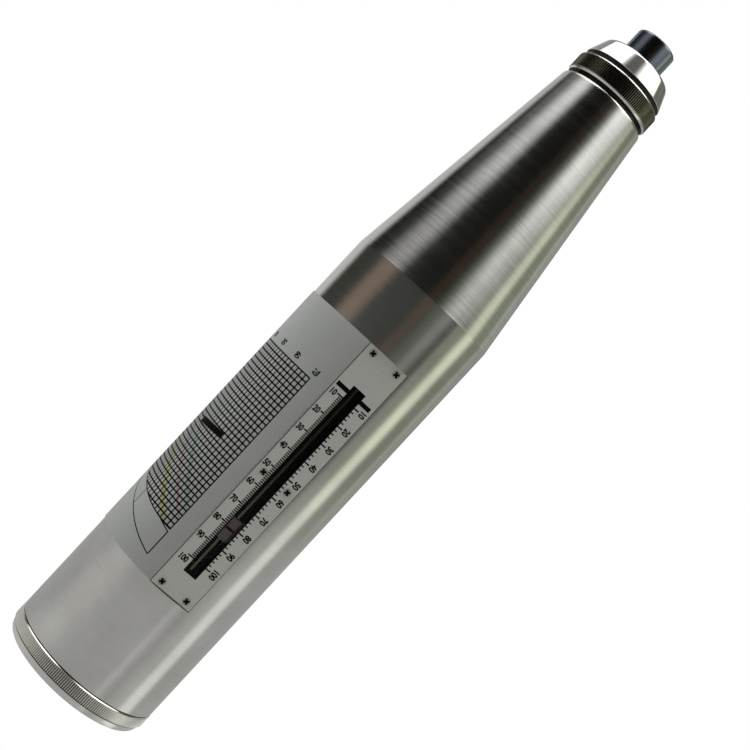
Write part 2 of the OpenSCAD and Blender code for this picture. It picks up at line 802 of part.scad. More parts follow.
module hammer_mass() {
    hole_r = bar_r + run_gap;
    post_r = impact_r / turn_swell - impact_wire / 2 - free_gap;
    groove_r = impact_r * turn_swell + impact_wire / 2 + free_gap;
    groove_z = mass_front_z - mass_groove_depth;
    color("gray") rotate_extrude() polygon([
        [hole_r, hook_z],
        [hook_r, hook_z],
        [hook_r, hook_z + hook_t],
        [tail_d / 2, hook_z + hook_t],
        [tail_d / 2, mass_z],
        [mass_r - mass_edge, mass_z],
        [mass_r, mass_z + mass_edge],
        [mass_r, mass_front_z - mass_edge],
        [mass_r - mass_edge, mass_front_z],
        [groove_r, mass_front_z],
        [groove_r, groove_z],
        [post_r, groove_z],
        [post_r, mass_front_z],
        [hole_r, mass_front_z]]);
}

module impact_spring() {
    from_z = mass_front_z - mass_groove_depth;
    color("gray") translate([0, 0, from_z + fit_gap])
        coil_spring(impact_r, impact_wire, impact_turns, stop_z - from_z - 2 * fit_gap, "impact spring");
}

module compression_spring() {
    color("gray") translate([0, 0, cover_wall + fit_gap])
        coil_spring(comp_r, comp_wire, comp_turns, disk_z - cover_wall - 2 * fit_gap, "compression spring");
}

// Scale plate, its screws and the window under it

module scale_plate() {
    color("lightgray") difference() {
        scale_block(plate_w, plate_floor, plate_top, plate_z, plate_front_z);
        scale_block(slot_w, plate_floor - over, plate_top + over, slot_z, slot_front_z);
        for (x = [-screw_row / 2, screw_row / 2])
            for (z = concat(screw_end_zs, screw_mid_z))
                translate([x, 0, z]) post_out(screw_r + fit_gap, plate_floor - over, plate_top + over);
    }
}

// One screw with a cross in its head, pointing inwards on the scale side
module plate_screw(len) {
    cross_w = screw_head_h / 2;
    head_top = plate_top + screw_head_h;
    difference() {
        union() {
            post_out(screw_r, plate_top - len, plate_top + screw_head_h / 2);
            post_out(screw_head_d / 2, plate_top, head_top);
        }
        for (turn = [0, 90]) rotate([0, turn, 0])
            scale_block(screw_d, head_top - screw_head_h / 2, head_top + over, -cross_w / 2, cross_w / 2);
    }
}

module plate_screws() {
    color("dimgray") for (x = [-screw_row / 2, screw_row / 2]) {
        for (z = screw_end_zs) translate([x, 0, z]) plate_screw(screw_end_len);
        translate([x, 0, screw_mid_z]) plate_screw(screw_mid_len);
    }
}

module window() {
    color("lightcyan") scale_block(window_w, window_floor, plate_floor, wall_slot_z - window_lap,
        wall_slot_front_z + window_lap);
}

// Rider on its rod

module rider_rod() {
    color("darkolivegreen") translate([0, -rod_y, screw_end_zs[0] - bracket_t / 2])
        cylinder(r = rod_r, h = screw_end_zs[1] - screw_end_zs[0] + bracket_t);
}

module rod_brackets() {
    color("dimgray") for (z = screw_end_zs) difference() {
        intersection() {
            scale_block(bracket_w, bracket_floor, barrel_r, z - bracket_t / 2, z + bracket_t / 2);
            translate([0, 0, z - bracket_t]) cylinder(r = bore_r - fit_gap, h = 2 * bracket_t);
        }
        translate([0, -rod_y, z - bracket_t]) cylinder(r = rod_r + fit_gap, h = 2 * bracket_t);
        for (x = [-screw_row / 2, screw_row / 2])
            translate([x, 0, z]) post_out(screw_r + fit_gap, plate_top - screw_end_len - fit_gap, barrel_r);
    }
}

module rider() {
    rear_z = index_z - rider_len / 2;
    front_z = index_z + rider_len / 2;
    color("mistyrose") difference() {
        union() {
            scale_block(rider_w, rider_floor, rider_top, rear_z, front_z);
            scale_block(index_w, rider_floor, index_top, rear_z, front_z);
        }
        translate([0, -rod_y, rear_z - over]) cylinder(r = rod_r + run_gap, h = rider_len + 2 * over);
    }
}

module rider_leaf() {
    color("gray") scale_block(leaf_w, leaf_floor, rider_floor, index_z - leaf_rear, index_z + leaf_front);
}

// Label with the chart, wrapped round the barrel beside the plate

module chart_label() {
    start = 270 - asin((plate_w / 2 + free_gap) / barrel_r);
    color("whitesmoke") rotate([0, 0, start - label_angle]) rotate_extrude(angle = label_angle)
        translate([barrel_r + fit_gap, plate_z]) square([label_t, plate_len]);
}

// Lock button on the far side, pointing out along +Y

module button_place() {
    translate([0, 0, button_z]) rotate([-90, 0, 0]) children();
}

module push_button() {
    pocket_in = button_spring_r / turn_swell - button_spring_wire / 2 - free_gap / 2;
    pocket_out = button_spring_r * turn_swell + button_spring_wire / 2 + free_gap / 2;
    pocket_y = head_y + button_pocket;
    dome_steps = 6;
    color("silver") button_place() rotate_extrude() polygon(concat(
        [[0, stem_y],
         [stem_r, stem_y],
         [stem_r, head_y],
         [pocket_in, head_y],
         [pocket_in, pocket_y],
         [pocket_out, pocket_y],
         [pocket_out, head_y],
         [button_r, head_y]],
        [for (i = [0 : dome_steps])
            let (a = 90 * i / dome_steps)
            [button_r * cos(a), head_top - button_dome * (1 - sin(a))]]));
}

module button_clip() {
    color("gray") button_place() translate([0, 0, clip_y]) difference() {
        cylinder(d = clip_d, h = clip_t);
        translate([0, 0, -over]) cylinder(r = stem_r + fit_gap, h = clip_t + 2 * over);
    }
}

module button_bush() {
    color("darkgray") button_place() rotate_extrude() polygon([
        [stem_r + run_gap, bush_bottom],
        [bush_neck_r, bush_bottom],
        [bush_neck_r, spot_y],
        [bush_d / 2, spot_y],
        [bush_d / 2, bush_top - free_gap],
        [bush_d / 2 - free_gap, bush_top],
        [button_r + run_gap, bush_top],
        [button_r + run_gap, bush_floor_y],
        [stem_r + run_gap, bush_floor_y]]);
}

module button_spring() {
    color("gray") button_place() translate([0, 0, bush_floor_y + fit_gap])
        coil_spring(button_spring_r, button_spring_wire, button_spring_turns,
            head_y + button_pocket - bush_floor_y - 2 * fit_gap, "button spring");
}

housing();
rear_cover();
trip_screw();
lock_nut();
front_cap();
split_ring();
felt_washer();
guide_sleeve();
plunger();
retaining_spring();
guide_bar();
guide_disk();
pawl();
pawl_pin();
pawl_spring();
hammer_mass();
impact_spring();
compression_spring();
scale_plate();
plate_screws();
window();
rider_rod();
rod_brackets();
rider();
rider_leaf();
chart_label();
push_button();
button_clip();
button_bush();
button_spring();
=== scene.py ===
# %% [markdown]
# # A concrete test hammer
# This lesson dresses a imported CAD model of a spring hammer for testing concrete: a turned metal barrel with a tapered
# nose, a knurled cap and rear cover, a blued plunger, and a scale with a sliding rider beside a printed chart.
# The CAD solids stay as the frame. Each visible piece is either a CAD solid with a better finish, or a finer mesh that
# stands for it in the same place. All places are in metres, with the axis of the tool on Z and its rear face at zero.

# %% Load the frame
import math

import bmesh
import bpy
from mathutils import Matrix, Vector

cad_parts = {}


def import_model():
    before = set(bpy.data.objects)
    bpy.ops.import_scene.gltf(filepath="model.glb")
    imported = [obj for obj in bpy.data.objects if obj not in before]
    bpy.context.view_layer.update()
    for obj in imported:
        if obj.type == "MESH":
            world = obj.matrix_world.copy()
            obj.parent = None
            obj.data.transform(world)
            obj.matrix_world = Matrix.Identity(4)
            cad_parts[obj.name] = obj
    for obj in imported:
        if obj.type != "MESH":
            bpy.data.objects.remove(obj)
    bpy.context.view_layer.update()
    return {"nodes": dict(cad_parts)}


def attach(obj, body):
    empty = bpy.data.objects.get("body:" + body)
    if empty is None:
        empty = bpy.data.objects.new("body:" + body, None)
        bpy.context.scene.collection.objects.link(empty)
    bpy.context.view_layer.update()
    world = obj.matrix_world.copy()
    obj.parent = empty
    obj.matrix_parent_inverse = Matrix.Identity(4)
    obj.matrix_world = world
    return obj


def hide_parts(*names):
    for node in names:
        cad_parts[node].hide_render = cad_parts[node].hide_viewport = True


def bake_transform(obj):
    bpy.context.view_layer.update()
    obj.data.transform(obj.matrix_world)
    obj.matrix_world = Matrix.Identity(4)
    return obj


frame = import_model()
bpy.context.scene.view_settings.view_transform = "Standard"

# %% [markdown]
# ## The camera
# The tool was photographed from the side of its scale, a little from the chart's side, and the picture is turned so
# that the nose points to the upper right. Here the tool stands upright in the frame and the camera rolls instead. Its
# place follows from the size of the picture, the fitted lens and the distance from the axis.

# %% Camera
MM = 0.001
CAMERA_AZIMUTH = math.radians(-12.4)
CAMERA_DISTANCE = 431.2 * MM
CAMERA_HEIGHT = 138.96 * MM
CAMERA_ASIDE = 5.74 * MM
NOSE_SLOPE = math.radians(47.16)

to_camera = Vector((math.sin(CAMERA_AZIMUTH), -math.cos(CAMERA_AZIMUTH), 0))
to_right = Vector((math.cos(CAMERA_AZIMUTH), math.sin(CAMERA_AZIMUTH), 0))
up = Vector((0, 0, 1))
image_right = up * math.cos(NOSE_SLOPE) + to_right * math.sin(NOSE_SLOPE)
image_up = up * math.sin(NOSE_SLOPE) - to_right * math.cos(NOSE_SLOPE)
camera = bpy.data.objects.new("camera", bpy.data.cameras.new("camera"))
camera.data.lens, camera.data.sensor_width = 63.02, 36
camera.data.clip_start, camera.data.clip_end = 0.01, 50
camera.matrix_world = Matrix((image_right, image_up, to_camera)).transposed().to_4x4()
camera.location = to_camera * CAMERA_DISTANCE + to_right * CAMERA_ASIDE + up * CAMERA_HEIGHT
bpy.context.scene.collection.objects.link(camera)
bpy.context.scene.camera = camera
print("camera at", [round(v, 4) for v in camera.location])

# %% [markdown]
# ## Shader maths as plain expressions
# A node tree is easier to read when its sums look like sums. `Wire` wraps an output socket and turns each operator into
# a Math node, and `Finish` owns a tree and adds any other node with its settings first and its sockets after.


# %% Wires and finishes
class Wire:
    """An output socket of a node tree. Arithmetic on it adds Math nodes."""

    def __init__(self, finish, socket):
        self.finish, self.socket = finish, socket

    def math(self, operation, *others):
        return self.finish.sum(operation, self, *others)

    def __add__(self, other):
        return self.math("ADD", other)

    def __sub__(self, other):
        return self.math("SUBTRACT", other)

    def __rsub__(self, other):
        return self.finish.sum("SUBTRACT", other, self)

    def __mul__(self, other):
        return self.math("MULTIPLY", other)

    def __truediv__(self, other):
        return self.math("DIVIDE", other)

    __radd__ = __add__
    __rmul__ = __mul__

    def __abs__(self):
        return self.math("ABSOLUTE")

    def rise(self, low, high, bottom=0.0, top=1.0):
        """Smooth step from bottom to top while the value goes from low to high."""
        return self.finish.add(
            "ShaderNodeMapRange",
            {"interpolation_type": "SMOOTHSTEP"},
            {"Value": self, "From Min": low, "From Max": high, "To Min": bottom, "To Max": top},
        )


class Finish:
    """A node tree under construction: a material's, the world's or one of Geometry Nodes."""

    def __init__(self, tree):
        self.tree = tree
        self.tree.nodes.clear()

    def add(self, kind, settings=None, sockets=None, out=0):
        node = self.tree.nodes.new(kind)
        for key, value in (settings or {}).items():
            setattr(node, key, value)
        for key, value in (sockets or {}).items():
            if isinstance(value, Wire):
                self.tree.links.new(value.socket, node.inputs[key])
            else:
                node.inputs[key].default_value = value
        return Wire(self, node.outputs[out] if node.outputs else None)

    def sum(self, operation, *terms):
        return self.add("ShaderNodeMath", {"operation": operation}, dict(enumerate(terms)))

    def coordinate(self, name="Object"):
        return self.add("ShaderNodeTexCoord", out=name)

    def parts(self, vector):
        node = self.add("ShaderNodeSeparateXYZ", None, {0: vector}).socket.node
        return [Wire(self, node.outputs[i]) for i in range(3)]

    def stretch(self, vector, scale):
        return self.add("ShaderNodeVectorMath", {"operation": "MULTIPLY"}, {0: vector, 1: scale})

    def noise(self, vector, scale, detail=2.0, rough=0.5):
        sockets = {"Vector": vector, "Scale": scale, "Detail": detail, "Roughness": rough}
        return self.add("ShaderNodeTexNoise", None, sockets)

    def between(self, share, first, second):
        """A colour between two colours."""
        sockets = {0: share, 6: colour(first), 7: colour(second)}
        return self.add("ShaderNodeMix", {"data_type": "RGBA"}, sockets, out=2)

    def bump(self, height, strength, depth):
        return self.add("ShaderNodeBump", None, {"Strength": strength, "Distance": depth, "Height": height})

    def surface(self, shader):
        self.add("ShaderNodeOutputMaterial", None, {"Surface": shader})


def colour(value):
    """A plain colour gets its fourth number; a wire passes through."""
    return value if isinstance(value, Wire) else (*value, 1.0)


def material(name):
    made = bpy.data.materials.new(name)
    made.use_nodes = True
    return made, Finish(made.node_tree)


def principled(finish, **sockets):
    names = {key.replace("_", " "): value for key, value in sockets.items()}
    finish.surface(finish.add("ShaderNodeBsdfPrincipled", None, names))


# %% [markdown]
# ## Light
# Shiny metal shows its surroundings, so the light is drawn as what the metal should mirror: a dark room in front, where
# the camera stands, one narrow bright window to the right, a softer strip on each side, and a pale wall behind. The
# strips are brighter higher up, which is what the sloping nose sees. Matte pieces get an even light from the left
# instead, and the camera itself sees plain white.

# %% Studio
# Each panel: azimuth from the camera, half its width and its soft edge in degrees, then its strength at the height of
# the camera, halfway up and high up, and its colour
PANELS = {
    "window": (91.5, 2, 15, (0.62, 0.58, 0.12), (1.0, 1.03, 0.80)),
    "wall by the window": (116, 14, 22, (0.17, 0.24, 0.14), (0.95, 1.03, 0.80)),
    "end of the wall": (141, 6, 14, (0.16, 0.18, 0.05), (1.0, 1.02, 0.90)),
    "right back wall": (165, 8, 18, (0.20, 0.25, 0.14), (1.0, 1.0, 0.97)),
    "left back wall": (-152, 15, 18, (0.50, 0.50, 0.28), (1.0, 1.0, 0.98)),
    "brown door": (-66, 4, 20, (0.148, 0.0, 0.0), (1.0, 0.62, 0.46)),
    "left strip": (-69, 4, 26, (0.0, 0.15, 0.98), (1.0, 1.0, 1.0)),
    "far left strip": (-103, 6, 22, (0.0, 0.0, 0.32), (1.0, 1.0, 0.98)),
    "orange cloth": (11, 3, 9, (0.045, 0.02, 0.01), (1.0, 0.50, 0.22)),
    "green curtain": (29, 4, 9, (0.045, 0.045, 0.05), (0.92, 1.05, 0.80)),
    "shelf": (44, 3, 8, (0.13, 0.0, 0.0), (1.0, 0.99, 0.92)),
    "low wall": (71, 4, 7, (0.18, 0.12, 0.05), (0.97, 1.03, 0.82)),
    "right strip": (48, 4, 22, (0.0, 0.26, 0.28), (1.0, 1.0, 0.96)),
    "lamp": (62, 11, 22, (0.0, 0.03, 1.0), (1.0, 1.0, 0.97)),
}
ROOM, ROOM_HIGH = (0.040, 0.040, 0.034), (0.002, 0.002, 0.0015)
LOW, HALFWAY, HIGH = (math.sin(math.radians(a)) for a in (4, 15, 33))
# The ceiling is dark in front of the tool and comes further down on both sides
CEILING, CEILING_FRONT, CEILING_EDGE = 1.25, 0.12, (0.80, 0.86)
LOWER_LEFT, LOWER_RIGHT = 0.24, 0.14
SOFT_LIGHT, SOFT_LIGHT_LEFT = 0.19, 1.1


def azimuth_of(finish, place):
    """Degrees to the right of the camera, seen from the tool's axis, then the place to the side, in front and up."""
    east, north, height = finish.parts(place)
    side = east * to_right.x + north * to_right.y
    front = east * to_camera.x + north * to_camera.y
    return side.math("ARCTAN2", front) * math.degrees(1), side, front, height


def tinted(finish, tint, amount):
    return finish.add("ShaderNodeVectorMath", {"operation": "SCALE"}, {0: tint, "Scale": amount})


def plus(finish, first, second):
    return finish.add("ShaderNodeVectorMath", {"operation": "ADD"}, {0: first, 1: second})


world = bpy.data.worlds.new("studio")
world.use_nodes = True
bpy.context.scene.world = world
sky = Finish(world.node_tree)
azimuth, _, _, height = azimuth_of(sky, sky.coordinate("Generated"))
half_up, high_up = height.rise(LOW, HALFWAY), height.rise(HALFWAY, HIGH)
light = sky.between(half_up, ROOM, ROOM_HIGH)
for middle, half, soft, (low, halfway, high), tint in PANELS.values():
    strength = half_up * (halfway - low) + high_up * (high - halfway) + low
    inside = abs(azimuth - middle).rise(half, half + soft, 1.0, 0.0)
    light = plus(sky, light, tinted(sky, tint, inside * strength))
left, right = 0 - azimuth, azimuth
lower_left = left.rise(30, 80) - left.rise(126, 140)
lower_right = right.rise(30, 80) - right.rise(106, 122)
bright = abs(azimuth + 11).rise(17, 46, CEILING_FRONT, CEILING)
overhead = (height + lower_left * LOWER_LEFT + lower_right * LOWER_RIGHT).rise(*CEILING_EDGE) * bright
light = plus(sky, light, tinted(sky, (1.0, 1.0, 0.98), overhead))
from_left = abs(azimuth + 103).rise(35, 55, SOFT_LIGHT_LEFT, 0.0)
even = tinted(sky, (1.0, 1.0, 0.985), from_left + SOFT_LIGHT)
rays = sky.add("ShaderNodeLightPath", out="Is Camera Ray").socket.node
matte = sky.between(Wire(sky, rays.outputs["Is Diffuse Ray"]), light, even)
shown = sky.between(Wire(sky, rays.outputs["Is Camera Ray"]), matte, (1, 1, 1))
sky.add("ShaderNodeOutputWorld", None, {"Surface": sky.add("ShaderNodeBackground", None, {"Color": shown})})
print("panels of light:", ", ".join(PANELS))

# %% [markdown]
# The rear of the barrel mirrors the floor, so the floor has what shows there: a pale ground, and painted light on it as
# a lighter patch on the left and a few soft streaks. A streak starts at the barrel and runs where a face of it with a
# given turn sends the view, so it shows as a straight band along the barrel. Far from the tool the floor fades out, and
# the camera sees it white.

# %% Floor
FLOOR_HALF, FLOOR_GLOW, FLOOR_LIGHT_PATCH = 4.0, 0.37, 0.10
BARREL_R = 27.5
# Each streak of painted light: the turn of the face that mirrors it and half its width, in degrees from the camera,
# and its strength
STREAKS = ((20.9, 2.0, 0.07), (28.0, 2.5, -0.05), (38.0, 3.0, 0.05), (46.3, 4.5, 0.36))
floor_mesh = bpy.data.meshes.new("floor")
corners = [(a * FLOOR_HALF, b * FLOOR_HALF, 0) for a, b in ((-1, -1), (1, -1), (1, 1), (-1, 1))]
floor_mesh.from_pydata(corners, [], [(0, 1, 2, 3)])
floor = bpy.data.objects.new("floor", floor_mesh)
bpy.context.scene.collection.objects.link(floor)
floor_finish, paper = material("pale floor")
azimuth, side, front, _ = azimuth_of(paper, paper.coordinate())
# Painted light on the floor: a lighter patch on the left, and below it the streaks
painted_light = abs(azimuth + 60).rise(4, 40, FLOOR_LIGHT_PATCH, 0.0)


def streak(turn, half, strength):
    """A streak of painted light on the floor that the barrel mirrors where its face has this turn."""
    turn, half = math.radians(turn), math.radians(half)
    over_side, over_front = math.sin(2 * turn), math.cos(2 * turn)
    start_side = side / MM - BARREL_R * math.sin(turn)
    start_front = front / MM - BARREL_R * math.cos(turn)
    along = start_side * over_side + start_front * over_front
    across = abs(start_side * over_front - start_front * over_side)
    reach = along.math("MAXIMUM", 0.0) * math.tan(2 * half) + BARREL_R * half
    return (across / reach).rise(0.5, 1.5, strength, 0.0) * along.rise(-4, 2)


for values in STREAKS:
    painted_light = painted_light + streak(*values)
far = (side * side + front * front).math("SQRT").rise(0.5, 1.1)
glow = paper.add("ShaderNodeEmission", None, {"Color": tinted(paper, (1.0, 0.99, 0.965), painted_light + FLOOR_GLOW)})
gone = paper.add("ShaderNodeBsdfTransparent")
mirrored = paper.add("ShaderNodeMixShader", None, {0: far, 1: glow, 2: gone})
white = paper.add("ShaderNodeEmission", None, {"Color": (1, 1, 1, 1)})
seen = paper.add("ShaderNodeLightPath", out="Is Camera Ray")
paper.surface(paper.add("ShaderNodeMixShader", None, {0: seen, 1: mirrored, 2: white}))
floor_mesh.materials.append(floor_finish)
print("floor with", len(STREAKS), "streaks")

# %% [markdown]
# ## Finishes
# The barrel is turned aluminium: fine rings run round it, so light spreads along the axis and stays sharp across it.
# That is anisotropy with the long way turned to the axis, and a noise squeezed along Z draws the rings. They are faint
# on the barrel and plain on the nose, which shows the cuts of the tool. The other metals differ in colour, in roughness
# and in how strong the rings are.

# %% Metals


def turned_metal(name, tint, rough, ring, spread=0.0, scratch=0.35, metallic=1.0, depth=0.10, faint_to=None):
    """Metal from the lathe: ring is the spacing of its rings in mm, scratch their share, depth how dark they are.
    The rings are faint up to the height faint_to."""
    made, finish = material(name)
    place = finish.coordinate()
    rings = finish.noise(finish.stretch(place, (40, 40, 1000 / ring)), 1.0, 3.0, 0.6)
    if faint_to:
        height = finish.parts(place)[2] / MM
        rings = (rings - 0.5) * height.rise(faint_to - 1, faint_to + 1, 0.3, 1.0) + 0.5
    cloud = finish.noise(place, 55.0, 3.0, 0.55)
    dark = tuple((1 - depth) * v for v in tint)
    bright = tuple(min(1.0, (1 + depth / 2) * v) for v in tint)
    share = rings.rise(0.3, 0.7) * scratch + cloud.rise(0.3, 0.7) * (1 - scratch)
    principled(
        finish,
        Base_Color=finish.between(share, dark, bright),
        Metallic=metallic,
        Roughness=rings.rise(0.2, 0.8, rough * (1 - 0.3 * scratch), rough * (1 + 0.3 * scratch)),
        Anisotropic=spread,
        Anisotropic_Rotation=0.25,
        Normal=finish.bump(rings, 0.12 * scratch, 0.00002),
    )
    return made


SHOULDER_Z = 168.3
barrel_metal = turned_metal(
    "turned aluminium", (0.805, 0.805, 0.78), 0.19, 0.6, spread=0.75, scratch=0.5, depth=0.15, faint_to=SHOULDER_Z
)
nickel = turned_metal("polished nickel", (0.87, 0.862, 0.838), 0.12, 0.5, spread=0.3, scratch=0.2)
knurl_nickel = turned_metal("knurled nickel", (0.46, 0.43, 0.35), 0.22, 0.5, scratch=0.2)
# Painted shade in a dark metal: the groove at the rear of the cover and the floor of its knurl
cover_groove_shade = turned_metal("cover knurl grooves", (0.22, 0.215, 0.19), 0.45, 0.5)
cover_knurl_metal = turned_metal("cover knurl teeth", (0.97, 0.96, 0.90), 0.25, 0.5)
cover_metal = turned_metal("rear cover aluminium", (0.95, 0.95, 0.93), 0.28, 0.4, spread=0.5)
blued_steel = turned_metal("blued steel", (0.32, 0.36, 0.43), 0.2, 0.3, scratch=0.3)
bright_steel = turned_metal("turned steel", (0.56, 0.56, 0.555), 0.3, 0.4, spread=0.3)
spring_steel = turned_metal("spring wire", (0.40, 0.40, 0.41), 0.34, 0.3, scratch=0.2)
dark_steel = turned_metal("blackened steel", (0.16, 0.16, 0.155), 0.3, 0.2)
rod_steel = turned_metal("rider rod steel", (0.20, 0.195, 0.15), 0.11, 0.6, spread=0.3)
# Painted shade in near-black: the floors of the cap's knurl and groove
knurl_floor_shade = turned_metal("knurl grooves", (0.022, 0.018, 0.015), 0.5, 0.5, metallic=0.3)
# Painted shade in a dark metal: the spigot between nose and cap, and the rear face of the cap
gap_shade_metal = turned_metal("dark groove", (0.12, 0.115, 0.11), 0.3, 0.5)
# Painted shade in near-black: the inside of the housing, the walls under the slot and the gap behind the rear cover
shade_black = turned_metal("painted shade black", (0.010, 0.010, 0.009), 0.5, 0.5, metallic=0.2)
print("materials, with the frame's own:", len(bpy.data.materials))

# %% [markdown]
# The rest are a satin plate, printed ink, clear and milky plastic, dull screw heads and felt. Each has a little
# unevenness in its colour and its gloss, because nothing real is quite even.

# %% Other finishes


def dull(name, tint, rough, grain, uneven=0.08, shine=0.5, bump=0.05):
    """A surface with a fine grain: grain is its scale, uneven the change of colour."""
    made, finish = material(name)
    place = finish.coordinate()
    fine = finish.noise(place, grain, 4.0, 0.6)
    cloud = finish.noise(place, grain * 0.05, 2.0)
    share = fine.rise(0.3, 0.7) * 0.5 + cloud.rise(0.3, 0.7) * 0.5
    dark = tuple(v * (1 - uneven) for v in tint)
    bright = tuple(min(1.0, v * (1 + uneven)) for v in tint)
    principled(
        finish,
        Base_Color=finish.between(share, dark, bright),
        Specular_IOR_Level=shine,
        Roughness=fine.rise(0.2, 0.8, rough * 0.85, min(1.0, rough * 1.15)),
        Normal=finish.bump(fine, bump, 0.00003),
    )
    return made


INK_BLACK = (0.005, 0.005, 0.005)
ink = dull("black ink", INK_BLACK, 0.6, 3000, shine=0.03)
red_ink = dull("red ink", (0.06, 0.006, 0.012), 0.5, 3000, shine=0.1)
felt = dull("grey felt", (0.16, 0.16, 0.15), 0.95, 1800, uneven=0.35, bump=0.6)
screw_heads = dull("screw heads", (0.46, 0.46, 0.43), 0.4, 2200, shine=0.3)

clear_strip, clear = material("clear strip")
haze = clear.noise(clear.coordinate(), 300.0)
principled(
    clear,
    Base_Color=(0.02, 0.02, 0.02, 1),
    Roughness=haze.rise(0.2, 0.8, 0.04, 0.08),
    IOR=1.49,
    Alpha=haze.rise(0.2, 0.8, 0.10, 0.14),
)

# Half the width of the slot in the plate, its middle and half its length, and how far the painted shade on its walls
# runs out
SLOT_EDGE, SLOT_MIDDLE, SLOT_HALF = 2.4, 93.45, 38.65
SHADE_FROM, SHADE_TO = 0.08, 0.16


def plate_finish():
    """Satin metal, with painted shade in black on the walls of the slot and along its edge."""
    made, finish = material("scale plate satin")
    place = finish.coordinate()
    x, _, z = (value / MM for value in finish.parts(place))
    grain = finish.noise(place, 1500.0, 4.0, 0.6)
    satin = finish.between(grain.rise(0.3, 0.7), (0.735, 0.745, 0.695), (0.775, 0.785, 0.735))
    # Painted shade: black on the walls of the slot and a thin band along its edge
    beside = abs(x).rise(SLOT_EDGE + SHADE_FROM, SLOT_EDGE + SHADE_TO, 1.0, 0.0)
    length = abs(z - SLOT_MIDDLE).rise(SLOT_HALF + SHADE_FROM, SLOT_HALF + SHADE_TO, 1.0, 0.0)
    principled(
        finish,
        Base_Color=finish.between(beside * length, satin, (0.006, 0.006, 0.006)),
        Roughness=grain.rise(0.2, 0.8, 0.40, 0.52),
        Specular_IOR_Level=0.3,
        Normal=finish.bump(grain, 0.05, 0.00003),
    )
    return made


def rider_finish():
    """Milky plastic, a little pink in front of its red line."""
    made, finish = material("milky rider")
    place = finish.coordinate()
    grain = finish.noise(place, 1200.0, 3.0, 0.6)
    height = finish.parts(place)[2] / MM
    tint = finish.between(height.rise(71.0, 75.0), (0.29, 0.285, 0.27), (0.31, 0.245, 0.235))
    shade = finish.between(grain.rise(0.3, 0.7) * 0.25, tint, (0.10, 0.09, 0.09))
    principled(finish, Base_Color=shade, Roughness=grain.rise(0.2, 0.8, 0.3, 0.45))
    return made


plate_satin = plate_finish()
rider_milky = rider_finish()
print("materials, with the frame's own:", len(bpy.data.materials))

# %% [markdown]
# ## Round pieces
# Everything that came from a lathe is a profile swept round the axis. The CAD solids already have these profiles, but
# their meshes have few facets, and polished metal shows every facet. So the visible ones are swept again with hundreds
# of steps, with small rounds on the edges that catch the light.

# %% Turning helpers


def plain(made, name):
    """Turns a bmesh into a plain mesh."""
    mesh = bpy.data.meshes.new(name)
    made.to_mesh(mesh)
    made.free()
    return mesh


def place_mesh(name, mesh, finishes=()):
    piece = bpy.data.objects.new(name, mesh)
    bpy.context.scene.collection.objects.link(piece)
    for finish in finishes:
        mesh.materials.append(finish)
    return piece


def smooth_faces(mesh, degrees=30):
    mesh.shade_smooth()
    mesh.set_sharp_from_angle(angle=math.radians(degrees))


BRACE = 0.25


def braced(profile, finish_of):
    """Adds a narrow band at both ends of each long edge, so that smooth shading bends only there."""
    points, marks = [], []
    for i, (r, z) in enumerate(profile):
        next_r, next_z = profile[(i + 1) % len(profile)]
        length = math.hypot(next_r - r, next_z - z)
        shares = [0, BRACE / length, 1 - BRACE / length] if length > 4 * BRACE else [0]
        points += [(r + (next_r - r) * k, z + (next_z - z) * k) for k in shares]
        marks += [finish_of[i] if finish_of else 0] * len(shares)
    return points, marks


def turned(name, profile, steps, finishes, finish_of=None):
    """Sweeps a closed profile of (radius, height) points in mm round Z. finish_of gives the finish of each edge."""
    profile, finish_of = braced(profile, finish_of)
    made = bmesh.new()
    rings = []
    for step in range(steps):
        turn = 2 * math.pi * step / steps
        rings.append([made.verts.new((r * MM * math.cos(turn), r * MM * math.sin(turn), z * MM)) for r, z in profile])
    count = len(profile)
    for step in range(steps):
        here, there = rings[step], rings[(step + 1) % steps]
        for i in range(count):
            j = (i + 1) % count
            face = made.faces.new((here[i], there[i], there[j], here[j]))
            face.material_index = finish_of[i]
    bmesh.ops.remove_doubles(made, verts=made.verts, dist=1e-7)
    bmesh.ops.dissolve_degenerate(made, edges=made.edges, dist=1e-8)
    bmesh.ops.recalc_face_normals(made, faces=made.faces)
    mesh = plain(made, name)
    smooth_faces(mesh)
    return place_mesh(name, mesh, finishes)


def arc(centre_r, centre_z, radius, start, end, steps):
    """Points of a round in a profile, by angles in degrees from the radial way."""
    turns = [math.radians(start + (end - start) * i / steps) for i in range(steps + 1)]
    return [(centre_r + radius * math.cos(t), centre_z + radius * math.sin(t)) for t in turns]


def dress(piece, body, slot, *nodes):
    """Rides on a body and stands for CAD nodes. The slot is not used."""
    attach(piece, body)
    if nodes:
        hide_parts(*nodes)
    print(piece.name, len(piece.data.polygons), "faces")


# %% [markdown]
# ## Housing
# Barrel and nose are one turned piece. The pocket for the scale plate, the long slot under it and the round seat of the
# lock button are cut into it with Booleans, because they are exactly what a milling cutter leaves.

